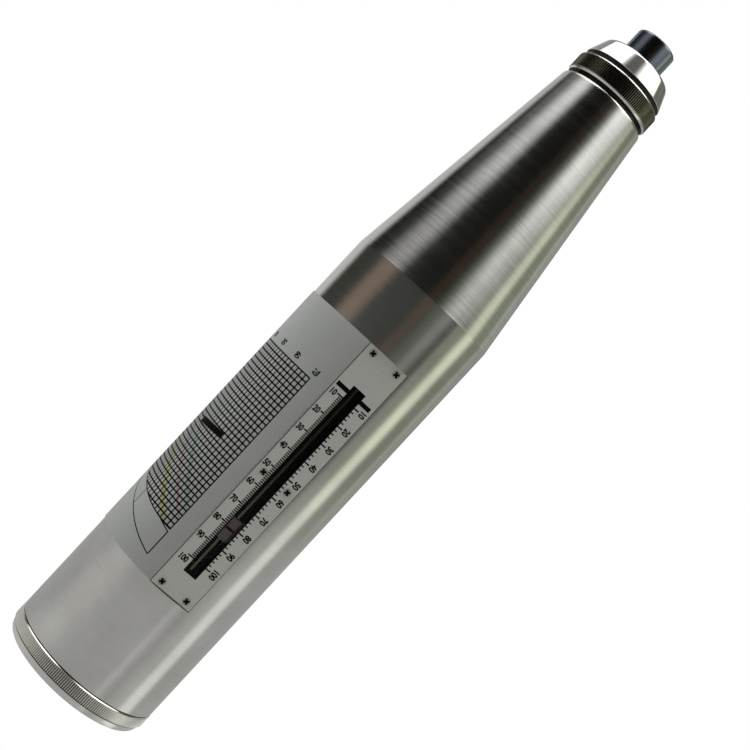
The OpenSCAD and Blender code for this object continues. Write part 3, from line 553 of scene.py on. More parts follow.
# %% Barrel and nose
BORE_R, NOSE_R, SPIGOT_R, SLEEVE_R = 23.5, 16.55, 14.2, 11.4
COVER_LEN, NOSE_Z, SPIGOT_Z = 7.5, 254.3, 261.0
THROAT_R, THROAT_LOW, THROAT_HIGH, BORE_END = 14.7, 241.1, 249.6, 168.1
housing_profile = [
    (BORE_R, COVER_LEN),
    (BARREL_R - 0.2, COVER_LEN),
    *arc(BARREL_R - 0.2, COVER_LEN + 0.2, 0.2, -90, 0, 3)[1:],
    (BARREL_R, SHOULDER_Z - 0.2),
    (BARREL_R - 0.05, SHOULDER_Z),
    (NOSE_R, NOSE_Z - 0.8),
    (NOSE_R - 0.12, NOSE_Z - 0.35),
    (NOSE_R - 0.45, NOSE_Z),
    (SPIGOT_R, NOSE_Z),
    (SPIGOT_R, SPIGOT_Z),
    (SLEEVE_R + 0.05, SPIGOT_Z),
    (SLEEVE_R + 0.05, THROAT_HIGH),
    (THROAT_R, THROAT_HIGH),
    (THROAT_R, THROAT_LOW),
    (BORE_R, BORE_END),
]
# Painted shade: the spigot under the cap in a dark metal, and the faces inside the housing in near-black
spigot_edges = {housing_profile.index((SPIGOT_R, NOSE_Z)) - 1, housing_profile.index((SPIGOT_R, NOSE_Z))}
housing = turned(
    "barrel_and_nose",
    housing_profile,
    480,
    [barrel_metal, shade_black, gap_shade_metal],
    [2 if i in spigot_edges else int(i > max(spigot_edges)) for i in range(len(housing_profile))],
)


def block(name, low, high):
    """A box between two corners, in mm."""
    made = bmesh.new()
    bmesh.ops.create_cube(made, size=1)
    size = [b - a for a, b in zip(low, high)]
    middle = [(a + b) / 2 for a, b in zip(low, high)]
    for v in made.verts:
        v.co = Vector([(m + s * c) * MM for m, s, c in zip(middle, size, v.co)])
    return place_mesh(name, plain(made, name))


def peg(name, radius, start, end, height):
    """A round cutter along +Y between two distances from the axis, in mm."""
    made = bmesh.new()
    size = {"radius1": radius * MM, "radius2": radius * MM, "depth": (end - start) * MM}
    bmesh.ops.create_cone(made, cap_ends=True, segments=96, **size)
    bmesh.ops.rotate(made, verts=made.verts, matrix=Matrix.Rotation(math.radians(-90), 3, "X"))
    bmesh.ops.translate(made, verts=made.verts, vec=Vector((0, (start + end) / 2, height)) * MM)
    return place_mesh(name, plain(made, name))


def evaluated(piece):
    """The mesh of a piece, a curve or a text, with its modifiers run."""
    ready = piece.evaluated_get(bpy.context.evaluated_depsgraph_get())
    return bpy.data.meshes.new_from_object(ready)


def settle(piece):
    """Turns the evaluated piece into a plain mesh and drops its modifiers."""
    mesh = evaluated(piece)
    piece.modifiers.clear()
    piece.data = mesh
    return piece


def cut(piece, cutters):
    """Cuts each cutter out of the piece and keeps the plain mesh that is left."""
    for cutter in cutters:
        step = piece.modifiers.new(cutter.name, "BOOLEAN")
        step.operation, step.solver, step.object = "DIFFERENCE", "EXACT", cutter
    settle(piece)
    for cutter in cutters:
        bpy.data.objects.remove(cutter)


BUTTON_Z, BUTTON_SEAT = 43.4, 26.21
PLATE_FLOOR, WINDOW_FLOOR = -25.385, -24.785
PLATE_Z, PLATE_LEN, POCKET_HALF = 45.8, 99.7, 8.02
WINDOW_HALF, WINDOW_LOW, WINDOW_HIGH = 3.55, 53.15, 140.85
pocket_low, pocket_high = PLATE_Z - 0.3, PLATE_Z + PLATE_LEN + 0.05
cut(
    housing,
    [
        block("plate pocket", (-POCKET_HALF, -30, pocket_low), (POCKET_HALF, PLATE_FLOOR, pocket_high)),
        block("window pocket", (-WINDOW_HALF, -28, WINDOW_LOW), (WINDOW_HALF, WINDOW_FLOOR, WINDOW_HIGH)),
        block("slot", (-2.7, -28, 55.2), (2.7, -20, 138.8)),
        peg("button seat", 7.3, BUTTON_SEAT, 30, BUTTON_Z),
        peg("button hole", 5.55, 20, 30, BUTTON_Z),
    ],
)
# Painted shade: the walls of the pockets and of the slot under the plate's window get the near-black finish
for face in housing.data.polygons:
    x, y, z = face.center / MM
    beside_window = abs(x) < WINDOW_HALF + 0.05 and WINDOW_LOW - 1 < z < WINDOW_HIGH + 1
    if beside_window and PLATE_FLOOR + 0.01 < y < -20:
        face.material_index = 1
smooth_faces(housing.data)
dress(housing, "body", "barrel_metal", "housing")

# %% [markdown]
# ## Knurls
# A straight knurl is one tooth repeated round a ring, so Geometry Nodes make it: a tooth is modelled once in its place,
# and the tree turns a copy of it for each step round the axis. The result is turned into a plain mesh. A bump in the
# finish would be less work, but the teeth show in the outline and shade each other.

# %% Ring of teeth


def new_tree(name, sockets):
    """A Geometry Nodes tree with named inputs and one geometry out. Gives the tree and a wire for each input."""
    group = bpy.data.node_groups.new(name, "GeometryNodeTree")
    for label, kind in sockets.items():
        group.interface.new_socket(label, in_out="INPUT", socket_type="NodeSocket" + kind)
    group.interface.new_socket("Geometry", in_out="OUTPUT", socket_type="NodeSocketGeometry")
    tree = Finish(group)
    given = tree.add("NodeGroupInput").socket.node
    return tree, {label: Wire(tree, given.outputs[label]) for label in sockets}


def finish_tree(tree, inputs, instances):
    """Ends a tree: real geometry from the instances, then the finish."""
    real = tree.add("GeometryNodeRealizeInstances", None, {0: instances})
    painted = tree.add("GeometryNodeSetMaterial", None, {"Geometry": real, "Material": inputs["Finish"]})
    tree.add("NodeGroupOutput", None, {0: painted})
    return tree.tree


def ring_tree():
    tree, inputs = new_tree(
        "Copies round the axis", {"Geometry": "Geometry", "Count": "Int", "Finish": "Material"}
    )
    points = tree.add("GeometryNodePoints", None, {"Count": inputs["Count"]})
    turn = tree.add("GeometryNodeInputIndex") / inputs["Count"] * (2 * math.pi)
    rotation = tree.add(
        "FunctionNodeEulerToRotation", None, {0: tree.add("ShaderNodeCombineXYZ", None, {"Z": turn})}
    )
    copies = tree.add(
        "GeometryNodeInstanceOnPoints",
        None,
        {"Points": points, "Instance": inputs["Geometry"], "Rotation": rotation},
    )
    return finish_tree(tree, inputs, copies)


def put_tree(piece, tree, **values):
    """Puts a tree on a piece, with its inputs set by name."""
    step = piece.modifiers.new(tree.name, "NODES")
    step.node_group = tree
    for item in tree.interface.items_tree:
        if item.in_out == "INPUT" and item.name in values:
            step[item.identifier] = values[item.name]


def grow(piece, tree, **values):
    """Runs a tree on a piece and keeps the plain mesh."""
    put_tree(piece, tree, **values)
    return settle(piece)


copies_round = ring_tree()
# Shares of half a step that the foot and the flat tip of a tooth take, and how far it runs into the ring under it
TOOTH_FOOT, TOOTH_FLAT, TOOTH_SUNK = 0.62, 0.26, 0.12
TOOTH_BEVEL = 0.2


def knurl(name, tip_r, root_r, low, high, teeth, finish, bevels=(TOOTH_BEVEL, TOOTH_BEVEL)):
    """Teeth round a ring, with a bevel at both ends. bevels gives the length of the two."""
    half = math.pi / teeth
    sunk = root_r - TOOTH_SUNK
    foot, flat = TOOTH_FOOT * half, TOOTH_FLAT * half
    outline = [(sunk, -foot), (root_r, -foot), (tip_r, -flat), (tip_r, flat), (root_r, foot), (sunk, foot)]
    verts, faces = [], []
    levels = ((low, TOOTH_BEVEL), (low + bevels[0], 0.0), (high - bevels[1], 0.0), (high, TOOTH_BEVEL))
    for z, shrink in levels:
        for r, a in outline:
            r = max(r - shrink, sunk)
            verts.append((r * MM * math.cos(a), r * MM * math.sin(a), z * MM))
    n = len(outline)
    for start in range(0, 3 * n, n):
        for i in range(n):
            j = (i + 1) % n
            faces.append((start + i, start + j, start + n + j, start + n + i))
    faces += [tuple(range(n - 1, -1, -1)), tuple(range(3 * n, 4 * n))]
    mesh = bpy.data.meshes.new(name)
    mesh.from_pydata(verts, [], faces)
    return grow(place_mesh(name, mesh), copies_round, Count=teeth, Finish=finish)


# %% [markdown]
# ## Rear cover
# A screwed cover with a rounded rear edge, a thin groove and a fine knurl, and a bright bevel before the gap to the
# barrel. Its rear face is what the tool stands on. Each edge of the profile has its own finish, so the groove, the
# floor of the knurl and the gap get painted shade without more pieces: a dark metal on the first two, near-black on the
# gap.

# %% Rear cover
COVER_R, COVER_TOOTH, COVER_TEETH = 27.6, 0.32, 228
COVER_LOW, COVER_HIGH = 2.9, 6.85
ROUND_DEEP, ROUND_LONG = 1.4, 2.3
cover_root = COVER_R - 2 * COVER_TOOTH
rear_turns = [math.radians(a) for a in range(0, 91, 9)]
cover_profile = [
    (8.5, 0.0),
    (8.7, 0.0),
    *[(cover_root - ROUND_DEEP * (1 - math.sin(a)), ROUND_LONG * (1 - math.cos(a))) for a in rear_turns],
    (cover_root, 2.45),
    (cover_root - 0.3, 2.5),
    (cover_root - 0.3, COVER_LOW),
    (COVER_R - COVER_TOOTH, COVER_LOW),
    (COVER_R - COVER_TOOTH, 6.8),
    (COVER_R - 0.05, 6.8),
    (COVER_R - 0.05, COVER_HIGH),
    (COVER_R - 0.32, 7.12),
    (COVER_R - 1.0, 7.12),
    (COVER_R - 1.0, COVER_LEN),
    (23.45, COVER_LEN),
    (23.45, 13.5),
    (20.65, 13.5),
    (20.65, 5.5),
    (7.0, 5.5),
    (7.0, 10.0),
    (3.05, 10.0),
    (3.05, 3.6),
    (8.5, 3.6),
]
# Painted shade: a dark metal on the groove and the knurl floor, near-black on the gap to the barrel
knurl_floor = cover_profile.index((COVER_R - COVER_TOOTH, COVER_LOW))
dark_step = range(knurl_floor - 3, knurl_floor + 1)
bright_edge = range(knurl_floor + 2, knurl_floor + 4)
dark_gap = range(knurl_floor + 4, knurl_floor + 7)
rear_cover = turned(
    "rear_cover_turned",
    cover_profile,
    456,
    [cover_metal, cover_groove_shade, nickel, shade_black],
    [1 if i in dark_step else 2 if i in bright_edge else 3 * (i in dark_gap) for i in range(len(cover_profile))],
)
dress(rear_cover, "body", "cover_metal", "rear_cover")
cover_knurl = knurl(
    "rear_cover_knurl", COVER_R, COVER_R - COVER_TOOTH, COVER_LOW, COVER_HIGH, COVER_TEETH, cover_knurl_metal
)
dress(cover_knurl, "body", "cover_metal")

# %% [markdown]
# ## Front cap
# The nickel cap has a lip on each side of its knurl, a groove, and a tapered dome that ends in a round edge. The floors
# of the knurl and the groove get painted shade, and a painted highlight on the rear ends of the teeth is a short second
# ring of teeth in polished nickel that lies over them.

# %% Front cap
CAP_R, CAP_TOOTH, CAP_TEETH = 16.4, 0.318, 136
KNURL_LOW, KNURL_HIGH, GROOVE_Z, DOME_Z, CAP_FRONT_Z = 256.6, 262.2, 262.95, 264.4, 272.0
CAP_REAR_Z, CAP_BORE_R, GROOVE_R, CAP_HOLE_R = 256.0, 14.25, 15.2, 8.0
FELT_FRONT, FELT_SEAT_R, RING_SEAT_Z = 269.4, 11.7, 263.2
lip_r = CAP_R - CAP_TOOTH / 2
cap_profile = [
    (CAP_BORE_R, CAP_REAR_Z),
    (lip_r - 0.38, CAP_REAR_Z),
    (lip_r - 0.02, 256.55),
    (lip_r, KNURL_LOW),
    (CAP_R - 2 * CAP_TOOTH, KNURL_LOW),
    (CAP_R - 2 * CAP_TOOTH, KNURL_HIGH),
    (lip_r, KNURL_HIGH),
    (lip_r - 0.02, KNURL_HIGH + 0.06),
    (lip_r - 0.7, GROOVE_Z),
    (GROOVE_R, GROOVE_Z),
    (GROOVE_R, DOME_Z),
    (15.45, DOME_Z),
    (15.6, DOME_Z + 0.15),
    *arc(10.95, 269.6, 2.4, 23, 90, 12),
    (8.15, CAP_FRONT_Z),
    (CAP_HOLE_R, CAP_FRONT_Z - 0.15),
    (CAP_HOLE_R, FELT_FRONT),
    (FELT_SEAT_R, FELT_FRONT),
    (FELT_SEAT_R, RING_SEAT_Z),
    (CAP_BORE_R, RING_SEAT_Z),
]
# The edges of the profile, by number, that get painted shade: the floor of the knurl and the groove, then the rear face
dark_edges, groove_edges = {4, 9, 10}, {0}
front_cap = turned(
    "front_cap_turned",
    cap_profile,
    384,
    [nickel, knurl_floor_shade, gap_shade_metal],
    [1 if i in dark_edges else 2 if i in groove_edges else 0 for i in range(len(cap_profile))],
)
dress(front_cap, "body", "nickel", "front_cap")
cap_knurl = knurl("front_cap_knurl", CAP_R, CAP_R - 2 * CAP_TOOTH, KNURL_LOW, KNURL_HIGH, CAP_TEETH, knurl_nickel)
dress(cap_knurl, "body", "nickel")
# Painted highlight: the rear ends of the teeth again, in bright polished nickel
END_BEVELS = (0.34, 0.06)
cap_ends = knurl(
    "front_cap_tooth_ends",
    CAP_R + 0.01,
    CAP_R - CAP_TOOTH,
    KNURL_LOW - 0.03,
    KNURL_LOW + 0.42,
    CAP_TEETH,
    nickel,
    END_BEVELS,
)
dress(cap_ends, "body", "nickel")

# %% [markdown]
# ## Plunger and the felt behind the cap
# The plunger is hardened and blued. Its tip is part of a large ball, so that it meets the concrete at one point. The
# felt keeps dust out of the cap.

# %% Plunger
TIP_BALL, TIP_Z, TIP_R, TIP_STEPS = 20.0, 282.6, 7.05, 8
PLUNGER_R, PLUNGER_Z, PLUNGER_BORE, BORE_BOTTOM = 7.5, 168.1, 4.06, 226.1
COLLAR_R, COLLAR_LEN = 10.0, 5.0
tip_points = []
for i in range(TIP_STEPS + 1):
    r = TIP_R * (1 - i / TIP_STEPS)
    tip_points.append((r, TIP_Z - TIP_BALL + math.sqrt(TIP_BALL**2 - r**2)))
plunger_profile = [
    (PLUNGER_BORE, PLUNGER_Z),
    (COLLAR_R - 0.3, PLUNGER_Z),
    (COLLAR_R, PLUNGER_Z + 0.3),
    (COLLAR_R, PLUNGER_Z + COLLAR_LEN - 0.3),
    (COLLAR_R - 0.3, PLUNGER_Z + COLLAR_LEN),
    (PLUNGER_R, PLUNGER_Z + COLLAR_LEN),
    (PLUNGER_R, 280.6),
    (7.4, 281.0),
    *tip_points,
    (0.0, BORE_BOTTOM),
    (PLUNGER_BORE, BORE_BOTTOM),
]
plunger = turned("plunger_turned", plunger_profile, 256, [blued_steel])
dress(plunger, "plunger", "blued_steel", "plunger")
FELT_REAR, FELT_R, FELT_BORE = 266.4, 11.4, 7.56
felt_profile = [
    (FELT_BORE, FELT_REAR),
    (FELT_R - 0.2, FELT_REAR),
    (FELT_R, FELT_REAR + 0.4),
    (FELT_R, FELT_FRONT - 0.4),
    (FELT_R - 0.2, FELT_FRONT),
    (FELT_BORE, FELT_FRONT),
]
felt_ring = turned("felt_ring", felt_profile, 128, [felt])
dress(felt_ring, "body", "felt", "felt_washer")

# %% [markdown]
# ## Lock button
# The button and its bush are turned pieces too, but their axis points out of the barrel along +Y.

# %% Button and bush


def face_out(piece):
    """Lays a piece that was turned round Z along +Y, at the height of the button."""
    piece.data.transform(Matrix.Translation((0, 0, BUTTON_Z * MM)) @ Matrix.Rotation(math.radians(-90), 4, "X"))
    return piece


BUTTON_R, BUTTON_TOP, DOME_TALL = 4.0, 37.0, 1.8
dome_turns = [math.radians(a) for a in range(0, 91, 9)]
dome = [(BUTTON_R * math.cos(a), BUTTON_TOP - DOME_TALL * (1 - math.sin(a))) for a in dome_turns]
button_profile = [
    (0.0, 23.7), (2.0, 23.7), (2.0, 30.9), (2.5, 30.9), (2.5, 34.9), (3.5, 34.9), (3.5, 30.9), (4.0, 30.9), *dome,
]
button = face_out(turned("push_button_turned", button_profile, 96, [nickel]))
dress(button, "button", "nickel", "push_button")
bush_profile = [
    (2.06, 24.72), (5.5, 24.72), (5.5, BUTTON_SEAT), (7.0, BUTTON_SEAT), (7.0, 32.2), (6.9, 32.4), (6.7, 32.5),
    (4.2, 32.5), (4.06, 32.35), (4.06, 26.62), (2.06, 26.62),
]
bush = face_out(turned("button_bush_turned", bush_profile, 128, [cover_metal]))
dress(bush, "body", "cover_metal", "button_bush")

# %% [markdown]
# ## Scale plate and its screws
# The plate is flat, so its CAD solid stays and only gets its satin finish. The six screws are one screw with a cross
# cut into its pan head, copied onto six points by a second small tree. A thin black cross of painted shade lies in the
# bottom of each, in the black of the ink.

# %% Screws
PLATE_TOP = -26.385


def repaint(node, finish):
    """Gives a CAD solid a new finish."""
    finishes = frame["nodes"][node].data.materials
    finishes.clear()
    finishes.append(finish)


def seat_tree():
    tree, inputs = new_tree(
        "A copy on each point", {"Geometry": "Geometry", "Piece": "Object", "Finish": "Material"}
    )
    piece = tree.add("GeometryNodeObjectInfo", None, {"Object": inputs["Piece"]}, out="Geometry")
    copies = tree.add("GeometryNodeInstanceOnPoints", None, {"Points": inputs["Geometry"], "Instance": piece})
    return finish_tree(tree, inputs, copies)


repaint("scale_plate", plate_satin)
copy_on_points = seat_tree()


def on_points(name, points, pattern, finish):
    """Copies a pattern onto points in mm, as one plain mesh, and drops the pattern."""
    mesh = bpy.data.meshes.new(name)
    mesh.from_pydata([Vector(p) * MM for p in points], [], [])
    piece = grow(place_mesh(name, mesh), copy_on_points, Piece=pattern, Finish=finish)
    bpy.data.objects.remove(pattern)
    return piece


def cross(name, half, reach, low, high):
    """A prism with a cross for its section, in mm."""
    corners, arm = [], [(half, half), (half, reach), (-half, reach)]
    for _ in range(4):
        corners += arm
        arm = [(-b, a) for a, b in arm]
    made = bmesh.new()
    bottom, top = ([made.verts.new(Vector((a, b, z)) * MM) for a, b in corners] for z in (low, high))
    made.faces.new(bottom[::-1])
    made.faces.new(top)
    for i in range(len(corners)):
        j = (i + 1) % len(corners)
        made.faces.new((bottom[i], bottom[j], top[j], top[i]))
    bmesh.ops.recalc_face_normals(made, faces=made.faces)
    return place_mesh(name, plain(made, name))


SCREW_TURN = math.radians(35)
SCREW_X, SCREW_HEIGHTS = 5.0, (47.9, 93.75, 143.4)


def drive_in(piece):
    """Turns a screw, or what lies in it, so that it points into the plate along +Y."""
    piece.data.transform(Matrix.Rotation(SCREW_TURN, 4, "Z"))
    piece.data.transform(Matrix.Rotation(math.radians(90), 4, "X"))
    smooth_faces(piece.data)
    return piece


def screw_pattern():
    """A pan head with a cross in it and a plain shank."""
    profile = [(0.0, -2.2), (0.8, -2.2), (0.8, 0.0), (1.25, 0.0), (1.25, 0.22), (1.12, 0.4), (0.85, 0.5), (0.0, 0.5)]
    screw = turned("screw_pattern", profile, 40, [])
    cut(screw, [cross("cross cutter", 0.39, 1.02, 0.2, 1.0)])
    return drive_in(screw)


screw_seats = [(x, PLATE_TOP, z) for x in (-SCREW_X, SCREW_X) for z in SCREW_HEIGHTS]
screws = on_points("plate_screws_heads", screw_seats, screw_pattern(), screw_heads)
dress(screws, "body", "dark_screw", "plate_screws")
# Painted shade: a thin black cross in the bottom of each head, in the ink's black
dark_cross = drive_in(cross("dark_cross", 0.38, 1.01, 0.21, 0.42))
crosses = on_points("plate_screws_cross", screw_seats, dark_cross, ink)
dress(crosses, "body", "dark_screw")

# %% [markdown]
# ## Printed scale
# The scale runs from 100 at the rear to 10 at the front, with a fine row of marks on the chart's side of the slot and a
# coarser row on the other. Marks repeat, so they are copies on points. Numbers are text made into thin solid ink.

# %% Marks
SCALE_TOP_Z, UNIT, END_BAR = 59.5, 0.75, 93.4
INK_LOW, INK_HIGH = PLATE_TOP + 0.01, PLATE_TOP - 0.015
TENS = range(0, 91, 10)


def mark_row(name, x_from, x_to, width, units):
    """Straight marks across the plate at these numbers of units below 100."""
    pattern = block("mark_pattern", (x_from, INK_HIGH, -width / 2), (x_to, INK_LOW, width / 2))
    points = [(0, 0, SCALE_TOP_Z + UNIT * u) for u in units]
    dress(on_points(name, points, pattern, ink), "body", "scale_metal")


mark_row("marks_fine", -3.8, -SLOT_EDGE, 0.46, [u for u in range(91) if u % 10])
mark_row("marks_fine_tens", -4.75, -SLOT_EDGE, 0.5, TENS)
mark_row("marks_coarse", SLOT_EDGE, 3.4, 0.44, [u for u in range(0, 91, 2) if u % 10])
mark_row("marks_coarse_tens", SLOT_EDGE, 4.3, 0.5, TENS)
mark_row("end_bar_fine", -7.15, -SLOT_EDGE, 1.5, [END_BAR])
mark_row("end_bar_coarse", SLOT_EDGE, 6.7, 1.5, [END_BAR])

# %% Numbers
INK_WEIGHT, INK_THICK, INK_LIFT = 0.044, 0.025, 0.004


def ink_text(words, size, narrow):
    """A number as a thin solid of ink round the origin, in mm, before it is laid on its place."""
    curve = bpy.data.curves.new("number", "FONT")
    curve.body, curve.size = words, size
    curve.align_x, curve.align_y = "CENTER", "CENTER"
    curve.extrude, curve.offset, curve.resolution_u = INK_THICK / 2, INK_WEIGHT * size, 4
    carrier = bpy.data.objects.new("number", curve)
    bpy.context.scene.collection.objects.link(carrier)
    mesh = evaluated(carrier)
    bpy.data.objects.remove(carrier)
    mesh.transform(Matrix.Diagonal((narrow, 1, 1, 1)))
    mesh.materials.clear()
    return mesh


def join(name, meshes, finish):
    """One piece from several meshes."""
    made = bmesh.new()
    for mesh in meshes:
        made.from_mesh(mesh)
        bpy.data.meshes.remove(mesh)
    return place_mesh(name, plain(made, name), [finish])


def lay_on_plate(mesh, x, z, across, along):
    """Lays text on the plate: across is where its reading way points, along where its top points."""
    out = Vector(across).cross(Vector(along))
    turn = Matrix((across, along, out)).transposed().to_4x4()
    mesh.transform(Matrix.Translation(Vector((x, PLATE_TOP - INK_LIFT, z)) * MM) @ turn @ Matrix.Scale(MM, 4))
    return mesh


# Size of the numbers and how narrow they are. In the fine row, 100 has no room above its mark and stands beside it.
COARSE_SIZE, COARSE_NARROW, COARSE_X = 3.0, 0.76, 5.75
FINE_SIZE, FINE_NARROW = 2.85, 0.78
FINE_PLACE, FINE_PLACE_100 = (-6.2, 0.45), (-5.2, 1.85)
RIGHT, FRONT, REAR = (1, 0, 0), (0, 0, 1), (0, 0, -1)
coarse, fine = [], []
for units in TENS:
    words = str(100 - units)
    z = SCALE_TOP_Z + UNIT * units
    text = ink_text(words, COARSE_SIZE, COARSE_NARROW)
    coarse.append(lay_on_plate(text, COARSE_X, z + 0.1, REAR, RIGHT))
    x, back = FINE_PLACE if units else FINE_PLACE_100
    text = ink_text(words, FINE_SIZE, FINE_NARROW)
    fine.append(lay_on_plate(text, x, z - back, RIGHT, FRONT))
dress(join("numbers_coarse", coarse, ink), "body", "scale_metal")
dress(join("numbers_fine", fine, ink), "body", "scale_metal")

# %% [markdown]
# ## Rider, rod and window
# Under the slot lies a clear strip, and under that the rider on its rod. The rider's block carries a red index line.
# The block and the strip have plain shapes, so both stay CAD solids. Only the rod is turned again, for a clean
# reflection.

# %% Rider
repaint("window", clear_strip)
repaint("rider", rider_milky)
repaint("rider_leaf", spring_steel)
repaint("rod_brackets", bright_steel)
INDEX_Z, INDEX_TOP, INDEX_WIDE, INDEX_HALF = 73.2, -24.485, 1.6, 0.45
index_line = block(
    "rider_index_line",
    (-INDEX_WIDE, INDEX_TOP - 0.02, INDEX_Z - INDEX_HALF),
    (INDEX_WIDE, INDEX_TOP + 0.05, INDEX_Z + INDEX_HALF),
)
index_line.data.materials.append(red_ink)
dress(index_line, "rider", "rider_plastic")
ROD_PLACE = (0, -21.5, 45.9)
rod_profile = [(0.0, 0.0), (1.3, 0.0), (1.5, 0.2), (1.5, 99.3), (1.3, 99.5), (0.0, 99.5)]
rod = turned("rider_rod_turned", rod_profile, 64, [rod_steel])
rod.data.transform(Matrix.Translation(Vector(ROD_PLACE) * MM))
dress(rod, "body", "rod_steel", "rider_rod")

# %% [markdown]
# ## Chart label
# The label is a thin foil bent round the barrel. Its chart is a drawing, so the finish draws it: a UV map gives the
# place on the flat foil, and lines are bands of that place. The grid stops at a curve on its left, as on a nomogram,
# with a narrow fan beside it. Its numbers are text of thin ink, as on the scale, bent round the foil.

# %% Label foil
LABEL_R, LABEL_T = 27.8, 0.25
LABEL_START, LABEL_SWEEP, LABEL_STEPS = 252.98, 135, 180
UV_MM = 150.0  # what one unit of the UV map stands for


def foil():
    """A bent foil with both faces and its edges, and a UV map of arc and height."""
    front, inner_r = PLATE_Z + PLATE_LEN, LABEL_R - LABEL_T
    section = ((LABEL_R, PLATE_Z), (LABEL_R, front), (inner_r, front), (inner_r, PLATE_Z))
    made = bmesh.new()
    sheet = made.loops.layers.uv.new("foil")
    columns = []
    for i in range(LABEL_STEPS + 1):
        turn = math.radians(LABEL_START - LABEL_SWEEP * i / LABEL_STEPS)
        spots = [Vector((r * math.cos(turn), r * math.sin(turn), z)) * MM for r, z in section]
        columns.append([made.verts.new(p) for p in spots])
    for a, b in zip(columns, columns[1:]):
        for i in range(4):
            made.faces.new((a[i], b[i], b[(i + 1) % 4], a[(i + 1) % 4]))
    made.faces.new(columns[0])
    made.faces.new(columns[-1][::-1])
    bmesh.ops.recalc_face_normals(made, faces=made.faces)
    for face in made.faces:
        for corner in face.loops:
            x, y, z = corner.vert.co / MM
            arc_mm = math.radians((LABEL_START - math.degrees(math.atan2(y, x))) % 360) * LABEL_R
            corner[sheet].uv = (arc_mm / UV_MM, (z - PLATE_Z) / UV_MM)
    mesh = plain(made, "chart_foil")
    smooth_faces(mesh)
    return place_mesh("chart_foil", mesh)


# %% Chart
# Places in mm on the flat foil: rise is measured round the barrel from the foot of the chart, and the rest along it
CHART_LOW_ARC, CHART_LONG = 6.15, 80
CELL_Z, CELL_ARC, CELLS_ARC = 1.805, 1.785, 30
GRID_WIDTH_Z, GRID_WIDTH_ARC, LINE_WIDTH = 0.53, 0.49, 0.42
CHART_FRONT, GRID_LEFT, GRID_BEND = 124.55 - PLATE_Z, 61.15 - PLATE_Z, 0.0076
FAN_LEFT, FAN_SLOPE, FAN_BEND = 50.85 - PLATE_Z, 0.23, 0.0068
FAN_RIGHT, FAN_RIGHT_SLOPE, FAN_RIGHT_TALL = 60.1 - PLATE_Z, 0.24, 7.0
RUNG_RISE, RUNG_WIDTH = 18.4, 0.3
DASH_RISE, DASH_ALONG, DASH_LEAN = (9.0, 23.0), (92.3 - PLATE_Z, 94.5 - PLATE_Z), 0.08
FOIL_DARK, FOIL_PALE = (0.46, 0.475, 0.465), (0.51, 0.525, 0.515)
# Coloured lines: tint, where the line starts, its slope, its bend, half its width in mm and its strength
STRIPES = (
    ((0.46, 0.42, 0.05), 57.9, 1.16, 0.0, 1.25, 0.62),
    ((0.46, 0.10, 0.15), 65.2, 1.33, 0.012, 0.55, 0.48),
    ((0.06, 0.32, 0.27), 68.6, 1.0, 0.0, 0.55, 0.48),
)


def past(value, low, soft=0.05):
    return value.rise(low - soft, low + soft)


def before(value, high, soft=0.05):
    return value.rise(high - soft, high + soft, 1.0, 0.0)


def within(value, low, high, soft=0.05):
    return past(value, low, soft) * before(value, high, soft)


def line(value, width=LINE_WIDTH):
    """A printed line where the value is zero."""
    return before(abs(value), width / 2, 0.03)


def grid_lines(value, pitch, width):
    """Lines at each whole step of a value."""
    return line(((value / pitch + 0.5).math("FRACT") - 0.5) * pitch, width)


def chart_finish():
    made, finish = material("chart foil print")
    u, v, _ = finish.parts(finish.add("ShaderNodeUVMap", {"uv_map": "foil"}))
    rise = u * UV_MM - CHART_LOW_ARC
    along = v * UV_MM
    behind = CHART_FRONT - along
    past_left = along - (rise * rise * GRID_BEND + GRID_LEFT)
    past_fan = along - (rise * FAN_SLOPE + rise * rise * FAN_BEND + FAN_LEFT)
    upright = within(rise, 0, CELL_ARC * CELLS_ARC)
    in_grid = within(behind, 0, CHART_LONG) * past(past_left, 0) * upright
    grid = grid_lines(behind, CELL_Z, GRID_WIDTH_Z).math("MAXIMUM", grid_lines(rise, CELL_ARC, GRID_WIDTH_ARC))
    black = grid * in_grid
    for more in (
        line(past_left) * upright,
        line(behind) * upright,
        line(rise) * within(along, GRID_LEFT, CHART_FRONT),
        line(past_fan) * upright,
        line(rise) * within(along, FAN_LEFT + 0.1, FAN_RIGHT + 0.1),
        line(along - FAN_RIGHT - rise * FAN_RIGHT_SLOPE) * within(rise, 0, FAN_RIGHT_TALL),
        line(rise - RUNG_RISE, RUNG_WIDTH) * past(past_fan, 0) * before(past_left, 0),
        within(rise, *DASH_RISE, 0.3) * within(along + rise * DASH_LEAN, *DASH_ALONG, 0.15),
    ):
        black = black.math("MAXIMUM", more)
    place = finish.coordinate()
    grain = finish.noise(place, 2500.0, 3.0, 0.6)
    cloud = finish.noise(place, 60.0)
    share = grain.rise(0.3, 0.7) * 0.5 + cloud.rise(0.3, 0.7) * 0.5
    foil_colour = finish.between(share, FOIL_DARK, FOIL_PALE)
    for tint, foot_z, slope, bend, half, strength in STRIPES:
        ahead = along - (foot_z - PLATE_Z)
        off = abs(rise - ahead * slope + ahead * ahead * bend)
        stripe = off.rise(half * 0.4, half * 1.6, strength, 0.0) * in_grid
        foil_colour = finish.between(stripe, foil_colour, tint)
    principled(
        finish,
        Base_Color=finish.between(black, foil_colour, INK_BLACK),
        Specular_IOR_Level=0.04,
        Roughness=grain.rise(0.2, 0.8, 0.42, 0.54),
        Normal=finish.bump(grain, 0.04, 0.00002),
    )
    return made


label = foil()
label.data.materials.append(chart_finish())
dress(label, "body", "label_foil", "chart_label")


